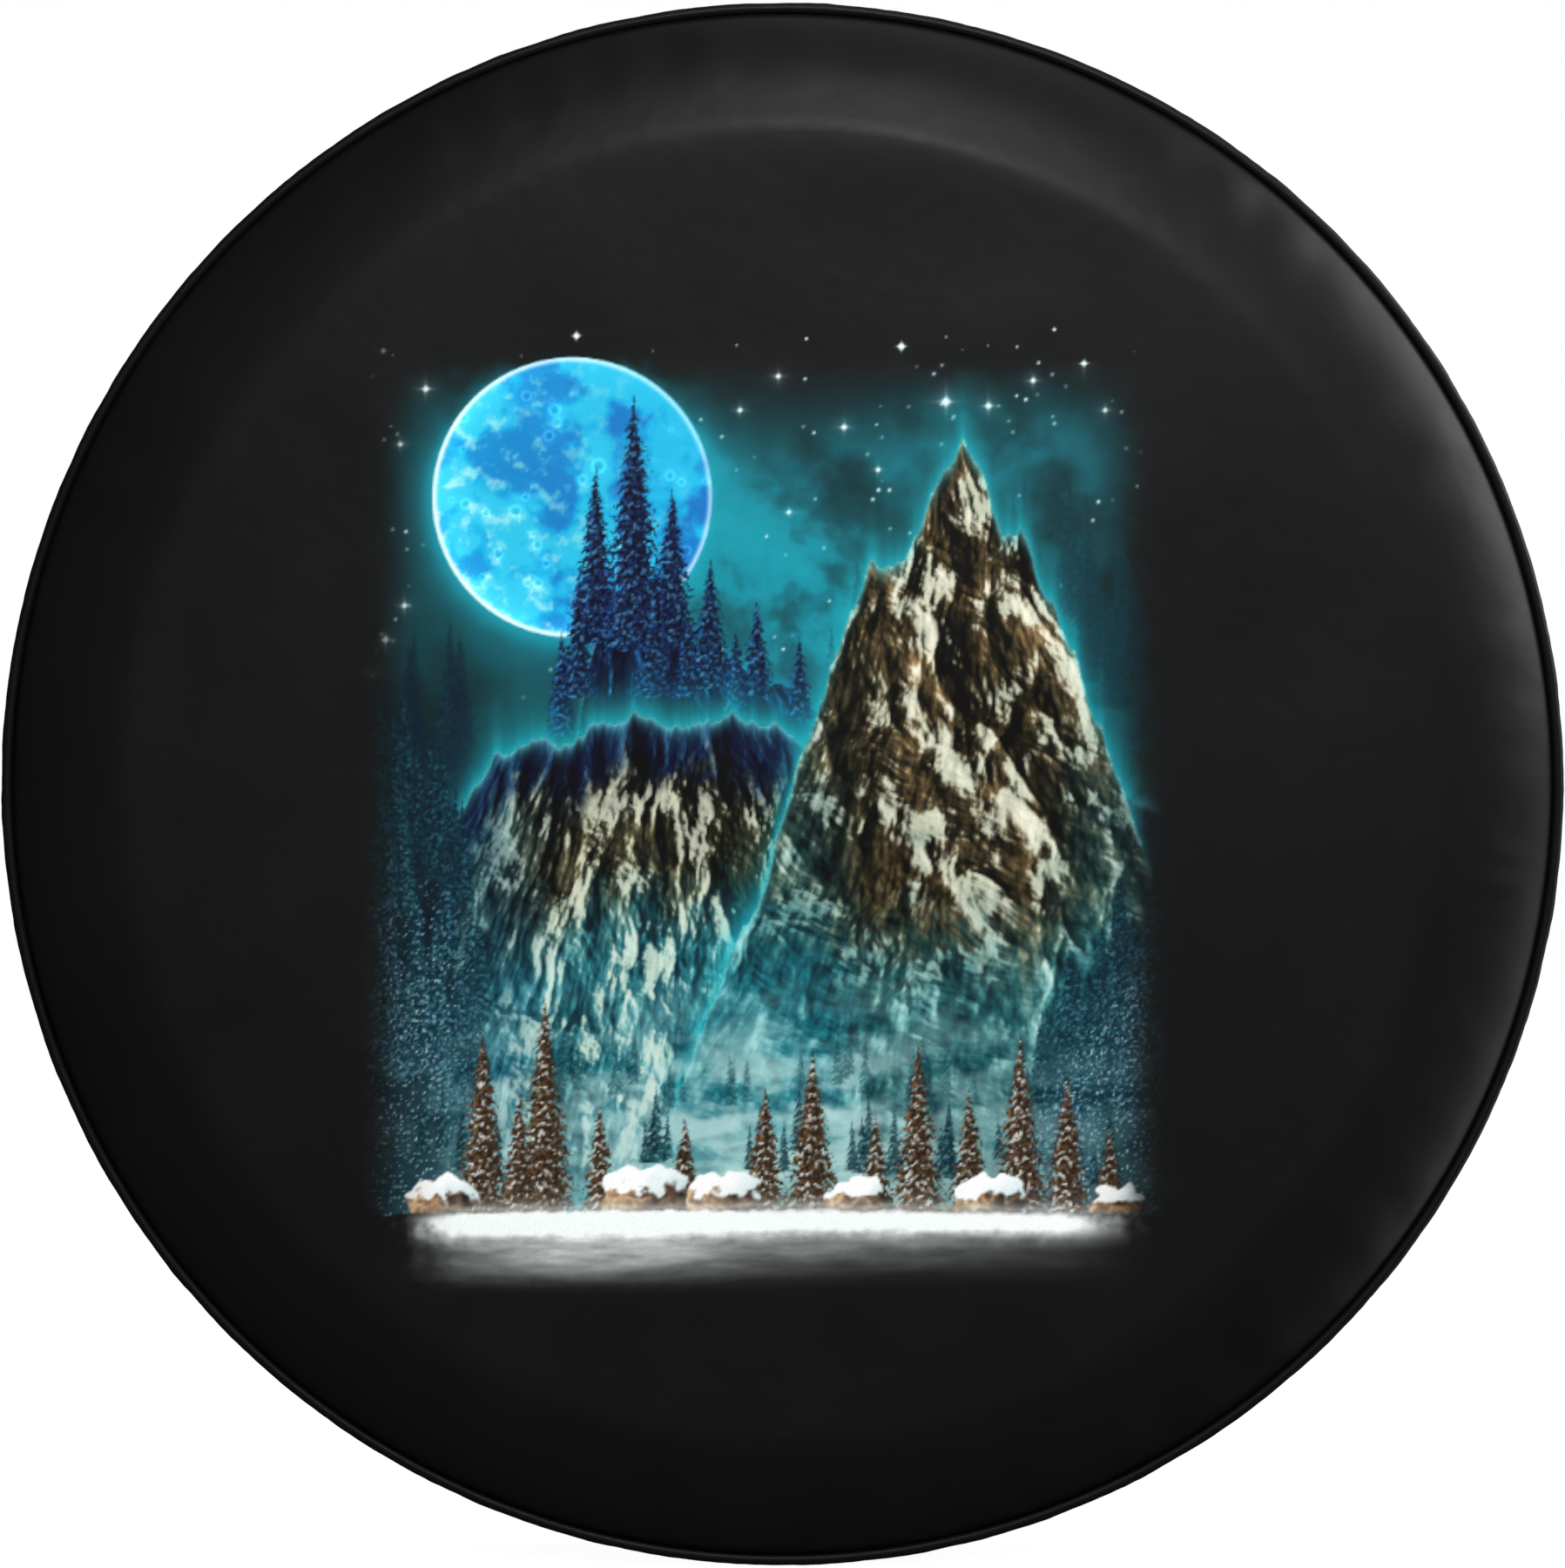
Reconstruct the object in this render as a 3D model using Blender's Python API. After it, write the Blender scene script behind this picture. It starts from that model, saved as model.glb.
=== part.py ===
"""Soft spare tyre cover: front panel, corded edge seam, two-strip tread band that wraps behind
the tyre, and a drawcord hem with a spring cord lock.

Frame: metres, +Z up. The wheel's axis is Y. The cover faces -Y and the tyre goes in from +Y.
The origin is the centre of the front panel's inner face, where it lies against the tyre.
Sizes are in millimetres. Section points are (r, y): r from the wheel's axis, y along it.
"""

from math import asin, cos, degrees, hypot, pi, radians, sin, tan

import bmesh
import bpy
from mathutils import Matrix, Vector

MM = 0.001
STEPS = 64  # facets round the wheel's axis
SMOOTH_DEG = 40.0  # edges sharper than this are shaded sharp
SIDES = (("left", -1), ("right", 1))  # label, sign of X

# ---------------------------------------------------------------- fabric
VINYL = 1.2  # coated fabric, with its soft backing
FLAT_R = 300.0  # the front panel is flat out to here, then rolls back over the tyre's shoulder
SHOULDER = (  # (radius, degrees the panel has turned back) over the shoulder
    (FLAT_R, 0.0), (309.0, 2.0), (320.0, 9.0), (333.0, 20.0),
    (345.0, 28.0), (355.0, 38.0), (361.4, 56.0), (363.8, 78.0),
)

BAND_R = 368.0  # outside of the tread band
BAND_REAR_Y = 206.0  # where the band starts to turn behind the tyre
REAR_Y = 241.2  # outside of the rear skirt, which is flat
SKIRT_R = 329.0  # the rear skirt is flat inside this radius
SKIRT_EDGE_R = 267.5  # raw edge of the skirt, held in the hem casing
STRIP_GAP = 0.25  # each tread strip stops this far short of the join
JOIN_TAPE_SIZE = (0.9, 160.0, 24.0)
JOIN_TAPE_R, JOIN_TAPE_Y = 365.4, 124.5  # centre of each join tape

WELT_R, WELT_Y = 367.4, 27.5  # centre of the corded welt, which marks the edge seam
ALLOWANCE_Y = WELT_Y + 14.5  # the seam allowances end here
FACE_ALLOWANCE_R = 362.8  # outside of the front panel's allowance
BAND_ALLOWANCE_R = 366.2  # outside of the band's allowance
WELT_CORD = 1.7  # radius of the filler cord
WELT_CORD_SIDES = 6
WELT_INNER, WELT_OUTER = 2.0, 2.6  # radii of the strip wrapped round it
WELT_SLIT = 0.15  # half of the space between the strip's plies

HEM_R, HEM_Y = 261.5, REAR_Y - VINYL / 2  # centre of the hem tunnel
HEM_INNER, HEM_OUTER = 3.6, 4.4  # radii of the tunnel
HEM_TAIL_R = 278.0  # the casing's two plies reach out to here on either side of the skirt
HEM_SLIT = 0.9  # half of the space between the plies
HEM_GAP_DEG = 4.5  # half of the opening at the bottom, where the cord comes out
HEM_START, HEM_END = -90 + HEM_GAP_DEG, 270 - HEM_GAP_DEG
HEM_STEPS = 62
WRAP_OUTER_POINTS, WRAP_INNER_POINTS = 8, 7  # points on the arcs of a wrapped strip

# ---------------------------------------------------------------- drawcord, lock and end cap
CORD = 2.5  # radius of the elastic drawcord
CORD_RING_STEPS = 60
CORD_SIDES = 6
CORD_LIFT_Y = 242.2  # each leg's Y just outside the casing's open end
CORD_SPREAD = 2.75  # each leg of the cord from the lock's centre, along Y
CORD_END_RISE = 4.5  # cord's ends above the bottom of the end cap

LOCK_X, LOCK_Y, LOCK_Z = 0.0, 252.0, -284.0  # centre of the cord lock's cross hole
LOCK_R, LOCK_BORE = 9.5, 7.3
LOCK_LEFT, LOCK_RIGHT = -17.0, 8.0  # ends of the body along X, from LOCK_X
LOCK_FLOOR = LOCK_LEFT + 1.8  # closed end of the bore
LOCK_STEPS = 24
PLUNGER_R = 7.0
PLUNGER_IN, PLUNGER_OUT = -7.6, 13.6  # ends of the plunger along X, from LOCK_X
PRESS = 4.0  # the plunger's travel, which lines its slot up with the body's hole
PINCH = 2.8  # at rest the two holes overlap by twice this along X, which grips the cord
HOLE_HALF_Y = 5.6  # half width of the cross holes along Y
HOLE_SIZE = (2 * PINCH + PRESS, 2 * HOLE_HALF_Y, 30.0)
BODY_HOLE_CORNER, PLUNGER_HOLE_CORNER = 1.2, 1.0

SPRING_WIRE, SPRING_R, SPRING_TURNS = 0.35, 5.2, 2.5  # wire radius, coil radius, turns
SPRING_STEPS = int(SPRING_TURNS * 12)
SPRING_SIDES = 4
SPRING_GAP = 0.3  # from the wire to the bore's floor and to the plunger

CAP_TOP, CAP_BOTTOM = -331.0, -346.0
CAP_R = 7.4
CAP_STEPS = 20
CAP_POCKET = (5.7, 11.2, 24.0)
CAP_POCKET_CORNER = 1.6
CAP_POCKET_RISE = 4.0  # floor of the pocket above the bottom of the cap

# ---------------------------------------------------------------- eyelets
GROMMET_R = 4.75  # clear hole of each eyelet
BARREL_R = GROMMET_R + 0.65
GROMMET_STEPS = 20
SECURITY_R, SECURITY_DEG = 303.0, 20.0  # radius, degrees either side of the top
DRAIN_Y = 116.0
DRAIN_SAG = 1.1  # the faceted band and its patch fall away from a flat seat by this much
PATCH = 1.1  # thickness of the reinforcing patches
PATCH_CORNER = 6.0
SECURITY_PATCH_SIZE = (42.0, 42.0, PATCH)
DRAIN_PATCH_SIZE = (30.0, 42.0, PATCH)
SEAT_GAP = 0.3  # clearance between the stacked parts of an eyelet
DRILL_R, DRILL_SIDES = 5.9, 20
DRILL_LENGTH, DRAIN_PATCH_DRILL_LENGTH = 12, 14


# ---------------------------------------------------------------- materials
def material(name, colour, roughness, metallic=0.0):
    mat = bpy.data.materials.new(name)
    mat.use_nodes = True
    bsdf = mat.node_tree.nodes["Principled BSDF"]
    bsdf.inputs["Base Color"].default_value = (*colour, 1.0)
    bsdf.inputs["Roughness"].default_value = roughness
    bsdf.inputs["Metallic"].default_value = metallic
    mat.diffuse_color = (*colour, 1.0)
    return mat


def make_materials():
    return {
        "vinyl": material("black_vinyl", colour=(0.012, 0.012, 0.012), roughness=0.42),
        "band": material("band_vinyl", colour=(0.011, 0.011, 0.011), roughness=0.45),
        "welt": material("welt_vinyl", colour=(0.010, 0.010, 0.010), roughness=0.40),
        "core": material("welt_core", colour=(0.55, 0.54, 0.50), roughness=0.60),
        "tape": material("binding_tape", colour=(0.014, 0.014, 0.015), roughness=0.85),
        "cord": material("elastic_cord", colour=(0.016, 0.016, 0.017), roughness=0.80),
        "plastic": material("lock_plastic", colour=(0.018, 0.018, 0.019), roughness=0.38),
        "steel": material(
            "spring_steel", colour=(0.56, 0.57, 0.58), roughness=0.30, metallic=1.0
        ),
        "brass": material("brass", colour=(0.70, 0.52, 0.24), roughness=0.28, metallic=1.0),
    }


# ---------------------------------------------------------------- placing
def placed(x, y, z):
    return Matrix.Translation(Vector((x, y, z)) * MM)


ALONG_Y = Matrix.Rotation(radians(-90), 4, "X")  # local +Z points along +Y
ALONG_X = Matrix.Rotation(radians(90), 4, "Y")  # local +Z points along +X
ALONG_MINUS_Z = Matrix.Rotation(radians(180), 4, "X")

LOCK_PLACE = placed(LOCK_X, LOCK_Y, LOCK_Z) @ ALONG_X
DRAIN_PLACE = placed(0, DRAIN_Y, -BAND_R) @ ALONG_MINUS_Z


def security_place(sign):
    """Seat of a security eyelet on the skirt's outside face."""
    angle = radians(SECURITY_DEG)
    x, z = sign * SECURITY_R * sin(angle), SECURITY_R * cos(angle)
    return placed(x, REAR_Y, z) @ ALONG_Y


# ---------------------------------------------------------------- modelling helpers
def finish(name, build, mat=None, place=None):
    """Turns a bmesh into a named object with its faces pointing out."""
    bmesh.ops.recalc_face_normals(build, faces=build.faces)
    if build.calc_volume(signed=True) < 0:
        bmesh.ops.reverse_faces(build, faces=build.faces)
    mesh = bpy.data.meshes.new(name)
    build.to_mesh(mesh)
    build.free()
    mesh.shade_smooth()
    mesh.set_sharp_from_angle(angle=radians(SMOOTH_DEG))
    obj = bpy.data.objects.new(name, mesh)
    bpy.context.scene.collection.objects.link(obj)
    if mat is not None:
        mesh.materials.append(mat)
    if place is not None:
        obj.matrix_world = place
    return obj


def spin(points, axis, steps, start=0.0, end=360.0):
    """A bmesh of points in metres spun about an axis; they form a loop unless they start on it."""
    build = bmesh.new()
    whole = end - start > 359.999
    turn = Matrix.Rotation(radians(start), 4, Vector(axis))
    verts = [build.verts.new(turn @ Vector(point)) for point in points]
    edges = [build.edges.new(pair) for pair in zip(verts, verts[1:])]
    if points[0][0] != 0.0:
        edges.append(build.edges.new((verts[-1], verts[0])))
    geom = verts + edges
    if not whole:
        geom.append(build.faces.new(verts))
    bmesh.ops.spin(
        build,
        geom=geom,
        cent=(0, 0, 0),
        axis=axis,
        angle=radians(end - start),
        steps=steps,
        use_merge=whole,
        use_duplicate=False,
    )
    if whole:
        bmesh.ops.remove_doubles(build, verts=build.verts, dist=1e-6)
    return build


def turned(name, section, mat, steps=STEPS, start=0.0, end=360.0):
    """A section spun about the wheel's axis. Angles go from +X towards +Z."""
    points = [(r * MM, y * MM, 0) for r, y in section]
    return finish(name, spin(points, (0, -1, 0), steps, start, end), mat)


def spun_at(name, section, mat, place, steps):
    """A small section of (radius, height) spun about the local Z axis of the matrix place."""
    points = [(r * MM, 0, height * MM) for r, height in section]
    return finish(name, spin(points, (0, 0, 1), steps), mat, place)


def slab(name, size, mat, place, corner=0.0):
    """A plate of size (x, y, z) centred on the matrix place, with its upright edges rounded."""
    build = bmesh.new()
    bmesh.ops.create_cube(build, size=1.0)
    bmesh.ops.scale(build, vec=Vector(size) * MM, verts=build.verts)
    if corner:
        upright = [
            edge
            for edge in build.edges
            if abs((edge.verts[0].co - edge.verts[1].co).normalized().z) > 0.9
        ]
        bmesh.ops.bevel(
            build,
            geom=upright,
            offset=corner * MM,
            segments=3,
            profile=0.5,
            affect="EDGES",
        )
    return finish(name, build, mat, place)


def drill(name, place, length=DRILL_LENGTH):
    """A round cutter along the local Z axis of the matrix place."""
    build = bmesh.new()
    bmesh.ops.create_cone(
        build,
        cap_ends=True,
        segments=DRILL_SIDES,
        radius1=DRILL_R * MM,
        radius2=DRILL_R * MM,
        depth=length * MM,
    )
    return finish(name, build, place=place)


def cut(obj, cutter):
    """Subtracts the cutter from the object, and hides the cutter."""
    cutter.hide_render = True
    cutter.display_type = "WIRE"
    mod = obj.modifiers.new("cut_" + cutter.name, "BOOLEAN")
    mod.operation = "DIFFERENCE"
    mod.solver = "EXACT"
    mod.object = cutter


def tube(name, points, radius, mat, sides):
    """A round bar along a path of points."""
    curve = bpy.data.curves.new(name, "CURVE")
    curve.dimensions = "3D"
    curve.bevel_depth = radius * MM
    curve.bevel_resolution = (sides - 4) // 2
    curve.use_fill_caps = True
    curve.twist_mode = "MINIMUM"
    spline = curve.splines.new("POLY")
    spline.points.add(len(points) - 1)
    for point, (x, y, z) in zip(spline.points, points):
        point.co = (x * MM, y * MM, z * MM, 1.0)
    curve.materials.append(mat)
    obj = bpy.data.objects.new(name, curve)
    bpy.context.scene.collection.objects.link(obj)
    return obj


# ---------------------------------------------------------------- section helpers
def circle(centre, radius, count):
    angles = [2 * pi * i / count for i in range(count)]
    return [(centre[0] + radius * cos(a), centre[1] + radius * sin(a)) for a in angles]


def shifted(path, distance):
    """A path of (r, y) points moved sideways, to the left of its direction."""
    moved = []
    for i, (r, y) in enumerate(path):
        r_before, y_before = path[max(i - 1, 0)]
        r_after, y_after = path[min(i + 1, len(path) - 1)]
        along_r, along_y = r_after - r_before, y_after - y_before
        length = hypot(along_r, along_y)
        moved.append((r - distance * along_y / length, y + distance * along_r / length))
    return moved


def wrapped(centre, inner, outer, path, slit):
    """Section of a strip wrapped round a cord: a split tube whose two plies run on along a path.

    The slit is half of the space between the plies.
    """
    centre_r, centre_y = centre
    start_r, start_y = path[0][0] - centre_r, path[0][1] - centre_y
    aim = degrees(asin(start_y / hypot(start_r, start_y)))
    if start_r < 0:
        aim = 180.0 - aim
    reach = slit + outer - inner  # from the path to the outside of a ply
    left_out, right_out = shifted(path, reach), shifted(path, -reach)
    left_in, right_in = shifted(path, slit), shifted(path, -slit)
    outer_half = degrees(asin(reach / outer))
    inner_half = degrees(asin(slit / inner))

    def arc(radius, first, last, count):
        angles = [radians(first + (last - first) * i / (count - 1)) for i in range(count)]
        return [(centre_r + radius * cos(a), centre_y + radius * sin(a)) for a in angles]

    return (
        arc(outer, aim + outer_half, aim + 360 - outer_half, WRAP_OUTER_POINTS)
        + right_out[1:]
        + right_in[:0:-1]
        + arc(inner, aim + 360 - inner_half, aim + inner_half, WRAP_INNER_POINTS)
        + left_in[1:]
        + left_out[:0:-1]
    )


# ---------------------------------------------------------------- front panel and welt
def shoulder_path():
    """The front panel's outer surface, from the edge of the flat to the seam."""
    path = [(FLAT_R, -VINYL)]
    for (r0, turn0), (r1, turn1) in zip(SHOULDER, SHOULDER[1:]):
        path.append((r1, path[-1][1] + (r1 - r0) * tan(radians((turn0 + turn1) / 2))))
    return path


def make_face_panel(mats):
    outer = shoulder_path() + [
        (363.9, WELT_Y + 0.6),
        (362.9, WELT_Y + 3.6),
        (FACE_ALLOWANCE_R, WELT_Y + 5.0),
        (FACE_ALLOWANCE_R, ALLOWANCE_Y),
    ]
    inner = shifted(outer, VINYL)
    inner[0] = (FLAT_R, 0.0)
    inner[-1] = (FACE_ALLOWANCE_R - VINYL, ALLOWANCE_Y)
    turned("face_panel", [(0.0, -VINYL)] + outer + inner[::-1] + [(0.0, 0.0)], mats["vinyl"])


WELT_EXIT = WELT_INNER * cos(radians(45))  # the tail leaves the cord inwards and back
WELT_TAIL = [
    (WELT_R - WELT_EXIT, WELT_Y + WELT_EXIT),
    (364.85, WELT_Y + 2.55),
    (363.95, WELT_Y + 4.8),
    (363.85, ALLOWANCE_Y),
]


def make_welt(mats):
    centre = (WELT_R, WELT_Y)
    turned("welt_cord", circle(centre, WELT_CORD, WELT_CORD_SIDES), mats["core"])
    section = wrapped(centre, WELT_INNER, WELT_OUTER, WELT_TAIL, WELT_SLIT)
    turned("welt_wrap", section, mats["welt"])


# ---------------------------------------------------------------- tread band and hem
BAND_SECTION = [
    # outside, from the seam back round to the skirt's edge
    (BAND_R, WELT_Y + 5.1), (BAND_R, BAND_REAR_Y), (366.4, 217.0), (361.5, 227.0),
    (353.0, 235.0), (342.0, 239.8), (SKIRT_R, REAR_Y), (SKIRT_EDGE_R, REAR_Y),
    # inside, back to the seam
    (SKIRT_EDGE_R, REAR_Y - VINYL), (SKIRT_R - 0.2, REAR_Y - VINYL), (341.4, 238.7),
    (352.2, 234.0), (360.5, 226.3), (365.2, 216.7),
    (BAND_R - VINYL, BAND_REAR_Y - 0.1), (BAND_R - VINYL, WELT_Y + 5.7),
    # seam allowance, folded back inside the band
    (366.5, WELT_Y + 5.0), (BAND_ALLOWANCE_R, WELT_Y + 5.7), (BAND_ALLOWANCE_R, ALLOWANCE_Y),
    (BAND_ALLOWANCE_R - VINYL, ALLOWANCE_Y), (BAND_ALLOWANCE_R - VINYL, WELT_Y + 5.3),
    # outside of the fold
    (365.6, WELT_Y + 3.9), (366.5, WELT_Y + 3.3), (367.5, WELT_Y + 3.7),
]


def make_band_strip(name, start, mats):
    """Half of the tread band, counted from the angle start."""
    gap = degrees(STRIP_GAP / BAND_R)
    return turned(name, BAND_SECTION, mats["band"], STEPS // 2, start + gap, start + 180 - gap)


def make_tread_band(mats):
    upper = make_band_strip("tread_band_upper", 0, mats)
    for label, sign in SIDES:
        cut(upper, drill("skirt_drill_" + label, security_place(sign)))
    lower = make_band_strip("tread_band_lower", 180, mats)
    cut(lower, drill("drain_drill", placed(0, DRAIN_Y, -BAND_R)))


def make_join_tapes(mats):
    """Reinforcing tape behind each join of the two strips."""
    for label, sign in SIDES:
        place = placed(sign * JOIN_TAPE_R, JOIN_TAPE_Y, 0)
        slab("join_tape_" + label, JOIN_TAPE_SIZE, mats["tape"], place)


def make_hem_casing(mats):
    tail = [(HEM_R + HEM_INNER, HEM_Y), (HEM_TAIL_R, HEM_Y)]
    section = wrapped((HEM_R, HEM_Y), HEM_INNER, HEM_OUTER, tail, HEM_SLIT)
    turned("hem_casing", section, mats["tape"], HEM_STEPS, HEM_START, HEM_END)


# ---------------------------------------------------------------- drawcord, lock and end cap
def cord_leg(sign):
    """From the casing's open end, over the skirt's edge and down through the lock."""
    y = LOCK_Y + sign * CORD_SPREAD
    return [
        (sign * 14.5, CORD_LIFT_Y, -261.8),
        (sign * 9.6, (CORD_LIFT_Y + y) / 2, -262.8),
        (sign * 5.4, y - 1.4, -264.6),
        (sign * 2.2, y - 0.3, -267.6),
        (sign * 0.4, y, -271.2),
        (LOCK_X, y, -274.0),
        (LOCK_X, y, -300.0),
        (LOCK_X, y, CAP_BOTTOM + CORD_END_RISE),
    ]


def make_drawcord(mats):
    ring = []
    for i in range(CORD_RING_STEPS + 1):
        angle = radians(HEM_START + (HEM_END - HEM_START) * i / CORD_RING_STEPS)
        ring.append((HEM_R * cos(angle), HEM_Y, HEM_R * sin(angle)))
    path = cord_leg(1)[::-1] + ring + cord_leg(-1)
    tube("hem_drawcord", path, CORD, mats["cord"], CORD_SIDES)


def cut_cross_hole(obj, name, offset, corner):
    """Cuts the straight-sided hole that runs along Z, centred at offset from LOCK_X."""
    place = placed(LOCK_X + offset, LOCK_Y, LOCK_Z)
    cut(obj, slab(name, HOLE_SIZE, None, place, corner))


def make_lock_body(mats):
    section = [
        (0.0, LOCK_LEFT),
        (LOCK_R - 2.0, LOCK_LEFT),
        (LOCK_R, LOCK_LEFT + 2.0),
        (LOCK_R, LOCK_RIGHT - 1.0),
        (LOCK_R - 0.7, LOCK_RIGHT),
        (LOCK_BORE, LOCK_RIGHT),
        (LOCK_BORE, LOCK_FLOOR),
        (0.0, LOCK_FLOOR),
    ]
    body = spun_at("cord_lock_body", section, mats["plastic"], LOCK_PLACE, LOCK_STEPS)
    cut_cross_hole(body, "body_hole_cutter", -PRESS / 2, BODY_HOLE_CORNER)


def make_lock_plunger(mats):
    section = [
        (0.0, PLUNGER_IN),
        (PLUNGER_R, PLUNGER_IN),
        (PLUNGER_R, PLUNGER_OUT - 2.2),
        (PLUNGER_R - 0.8, PLUNGER_OUT - 0.8),
        (PLUNGER_R - 2.6, PLUNGER_OUT),
        (0.0, PLUNGER_OUT),
    ]
    plunger = spun_at("cord_lock_plunger", section, mats["plastic"], LOCK_PLACE, LOCK_STEPS)
    cut_cross_hole(plunger, "plunger_slot_cutter", PRESS / 2, PLUNGER_HOLE_CORNER)


def make_lock_spring(mats):
    """Compression spring between the body's floor and the plunger."""
    low = LOCK_FLOOR + SPRING_GAP + SPRING_WIRE
    high = PLUNGER_IN - SPRING_GAP - SPRING_WIRE
    path = []
    for i in range(SPRING_STEPS + 1):
        x = LOCK_X + low + (high - low) * i / SPRING_STEPS
        angle = 2 * pi * SPRING_TURNS * i / SPRING_STEPS
        path.append((x, LOCK_Y + SPRING_R * cos(angle), LOCK_Z + SPRING_R * sin(angle)))
    tube("cord_lock_spring", path, SPRING_WIRE, mats["steel"], SPRING_SIDES)


def make_end_cap(mats):
    section = [  # heights run down from Z = 0
        (0.0, -CAP_BOTTOM),
        (5.6, -CAP_BOTTOM),
        (CAP_R, -CAP_BOTTOM - 2.0),
        (CAP_R, -CAP_TOP + 4.0),
        (CAP_R - 0.7, -CAP_TOP),
        (0.0, -CAP_TOP),
    ]
    place = placed(LOCK_X, LOCK_Y, 0) @ ALONG_MINUS_Z
    cap = spun_at("cord_end_cap", section, mats["plastic"], place, CAP_STEPS)
    pocket_z = CAP_BOTTOM + CAP_POCKET_RISE + CAP_POCKET[2] / 2
    pocket_place = placed(LOCK_X, LOCK_Y, pocket_z)
    cut(cap, slab("cap_pocket_cutter", CAP_POCKET, None, pocket_place, CAP_POCKET_CORNER))


# ---------------------------------------------------------------- eyelets
def grommet_section(wall_low):
    """Flange above the wall, barrel through it, and a curl that grips the washer below."""
    top = SEAT_GAP
    low = wall_low - 2.3
    return [
        (GROMMET_R, low),
        (GROMMET_R, top + 0.5),
        (GROMMET_R + 0.7, top + 1.3),
        (8.3, top + 1.3),
        (9.5, top + 0.5),
        (9.5, top),
        (BARREL_R, top),
        (BARREL_R, low + 0.75),
        (7.2, low + 0.75),
        (7.2, low),
    ]


def washer_section(wall_low):
    top = wall_low - SEAT_GAP
    return [(5.8, top - 0.9), (5.8, top), (9.4, top), (9.4, top - 0.6), (8.9, top - 0.9)]


def make_eyelet(prefix, suffix, wall_low, mats, place):
    """Grommet and washer; wall_low is the wall's inside height, from its outside face."""
    for part, section in (
        ("grommet", grommet_section(wall_low)),
        ("washer", washer_section(wall_low)),
    ):
        spun_at(prefix + part + suffix, section, mats["brass"], place, GROMMET_STEPS)


def make_security_eyelets(mats):
    """An eyelet and its patch on the rear skirt, either side of the top."""
    patch_top = -VINYL - SEAT_GAP
    for label, sign in SIDES:
        place = security_place(sign)
        make_eyelet("security_", "_" + label, patch_top - PATCH, mats, place)
        patch = slab(
            "security_patch_" + label,
            SECURITY_PATCH_SIZE,
            mats["vinyl"],
            place @ placed(0, 0, patch_top - PATCH / 2),
            PATCH_CORNER,
        )
        cut(patch, drill("patch_drill_" + label, place))


def make_drain_eyelet(mats):
    """An eyelet and its patch at the lowest point of the tread band."""
    patch_top = -VINYL - DRAIN_SAG
    make_eyelet("drain_", "", patch_top - PATCH, mats, DRAIN_PLACE)
    patch = slab(
        "drain_patch",
        DRAIN_PATCH_SIZE,
        mats["band"],
        placed(0, DRAIN_Y, -BAND_R - patch_top + PATCH / 2),
        PATCH_CORNER,
    )
    cut(patch, drill("drain_patch_drill", DRAIN_PLACE, DRAIN_PATCH_DRILL_LENGTH))


def main():
    for obj in list(bpy.data.objects):
        bpy.data.objects.remove(obj)
    mats = make_materials()
    for make in (
        make_face_panel,
        make_welt,
        make_tread_band,
        make_join_tapes,
        make_hem_casing,
        make_drawcord,
        make_lock_body,
        make_lock_plunger,
        make_lock_spring,
        make_end_cap,
        make_security_eyelets,
        make_drain_eyelet,
    ):
        make(mats)
    bpy.context.view_layer.update()


main()
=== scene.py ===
"""Looks of the spare tyre cover: grained vinyl, a printed night landscape, corded edge seam,
gathered rear skirt, stitching, drawcord and cord lock. Lengths are written in millimetres and
built in metres. The cover faces -Y, and its wheel axis is Y."""

import bmesh
import bpy
import numpy as np
from math import asin, cos, degrees, hypot, pi, radians, sin, tan
from mathutils import Matrix, Vector


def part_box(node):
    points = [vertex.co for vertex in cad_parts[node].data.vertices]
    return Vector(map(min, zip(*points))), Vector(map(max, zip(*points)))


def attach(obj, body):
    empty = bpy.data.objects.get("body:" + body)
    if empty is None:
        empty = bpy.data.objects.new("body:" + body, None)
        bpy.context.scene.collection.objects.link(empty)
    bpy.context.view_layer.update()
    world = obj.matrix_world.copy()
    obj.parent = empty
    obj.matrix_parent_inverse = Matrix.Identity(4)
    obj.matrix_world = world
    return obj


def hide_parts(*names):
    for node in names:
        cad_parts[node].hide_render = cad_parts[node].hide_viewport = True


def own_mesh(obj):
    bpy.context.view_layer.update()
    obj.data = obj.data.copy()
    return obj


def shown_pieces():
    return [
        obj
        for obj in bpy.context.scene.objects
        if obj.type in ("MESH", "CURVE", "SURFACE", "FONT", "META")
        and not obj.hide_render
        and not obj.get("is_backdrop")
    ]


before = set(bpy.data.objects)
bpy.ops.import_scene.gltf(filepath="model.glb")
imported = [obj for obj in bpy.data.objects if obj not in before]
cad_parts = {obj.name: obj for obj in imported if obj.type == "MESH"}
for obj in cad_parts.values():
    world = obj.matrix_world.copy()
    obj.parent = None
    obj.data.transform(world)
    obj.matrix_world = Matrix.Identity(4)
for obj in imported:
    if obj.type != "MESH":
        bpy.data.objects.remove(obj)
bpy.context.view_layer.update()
MM = 0.001

# ---------------------------------------------------------------- sizes taken from the frame
FACE_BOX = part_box("face_panel")
WELT_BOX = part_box("welt_wrap")
BAND_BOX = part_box("tread_band_upper")
LOCK_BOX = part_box("cord_lock_body")
BUTTON_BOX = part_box("cord_lock_plunger")
CAP_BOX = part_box("cord_end_cap")

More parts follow.
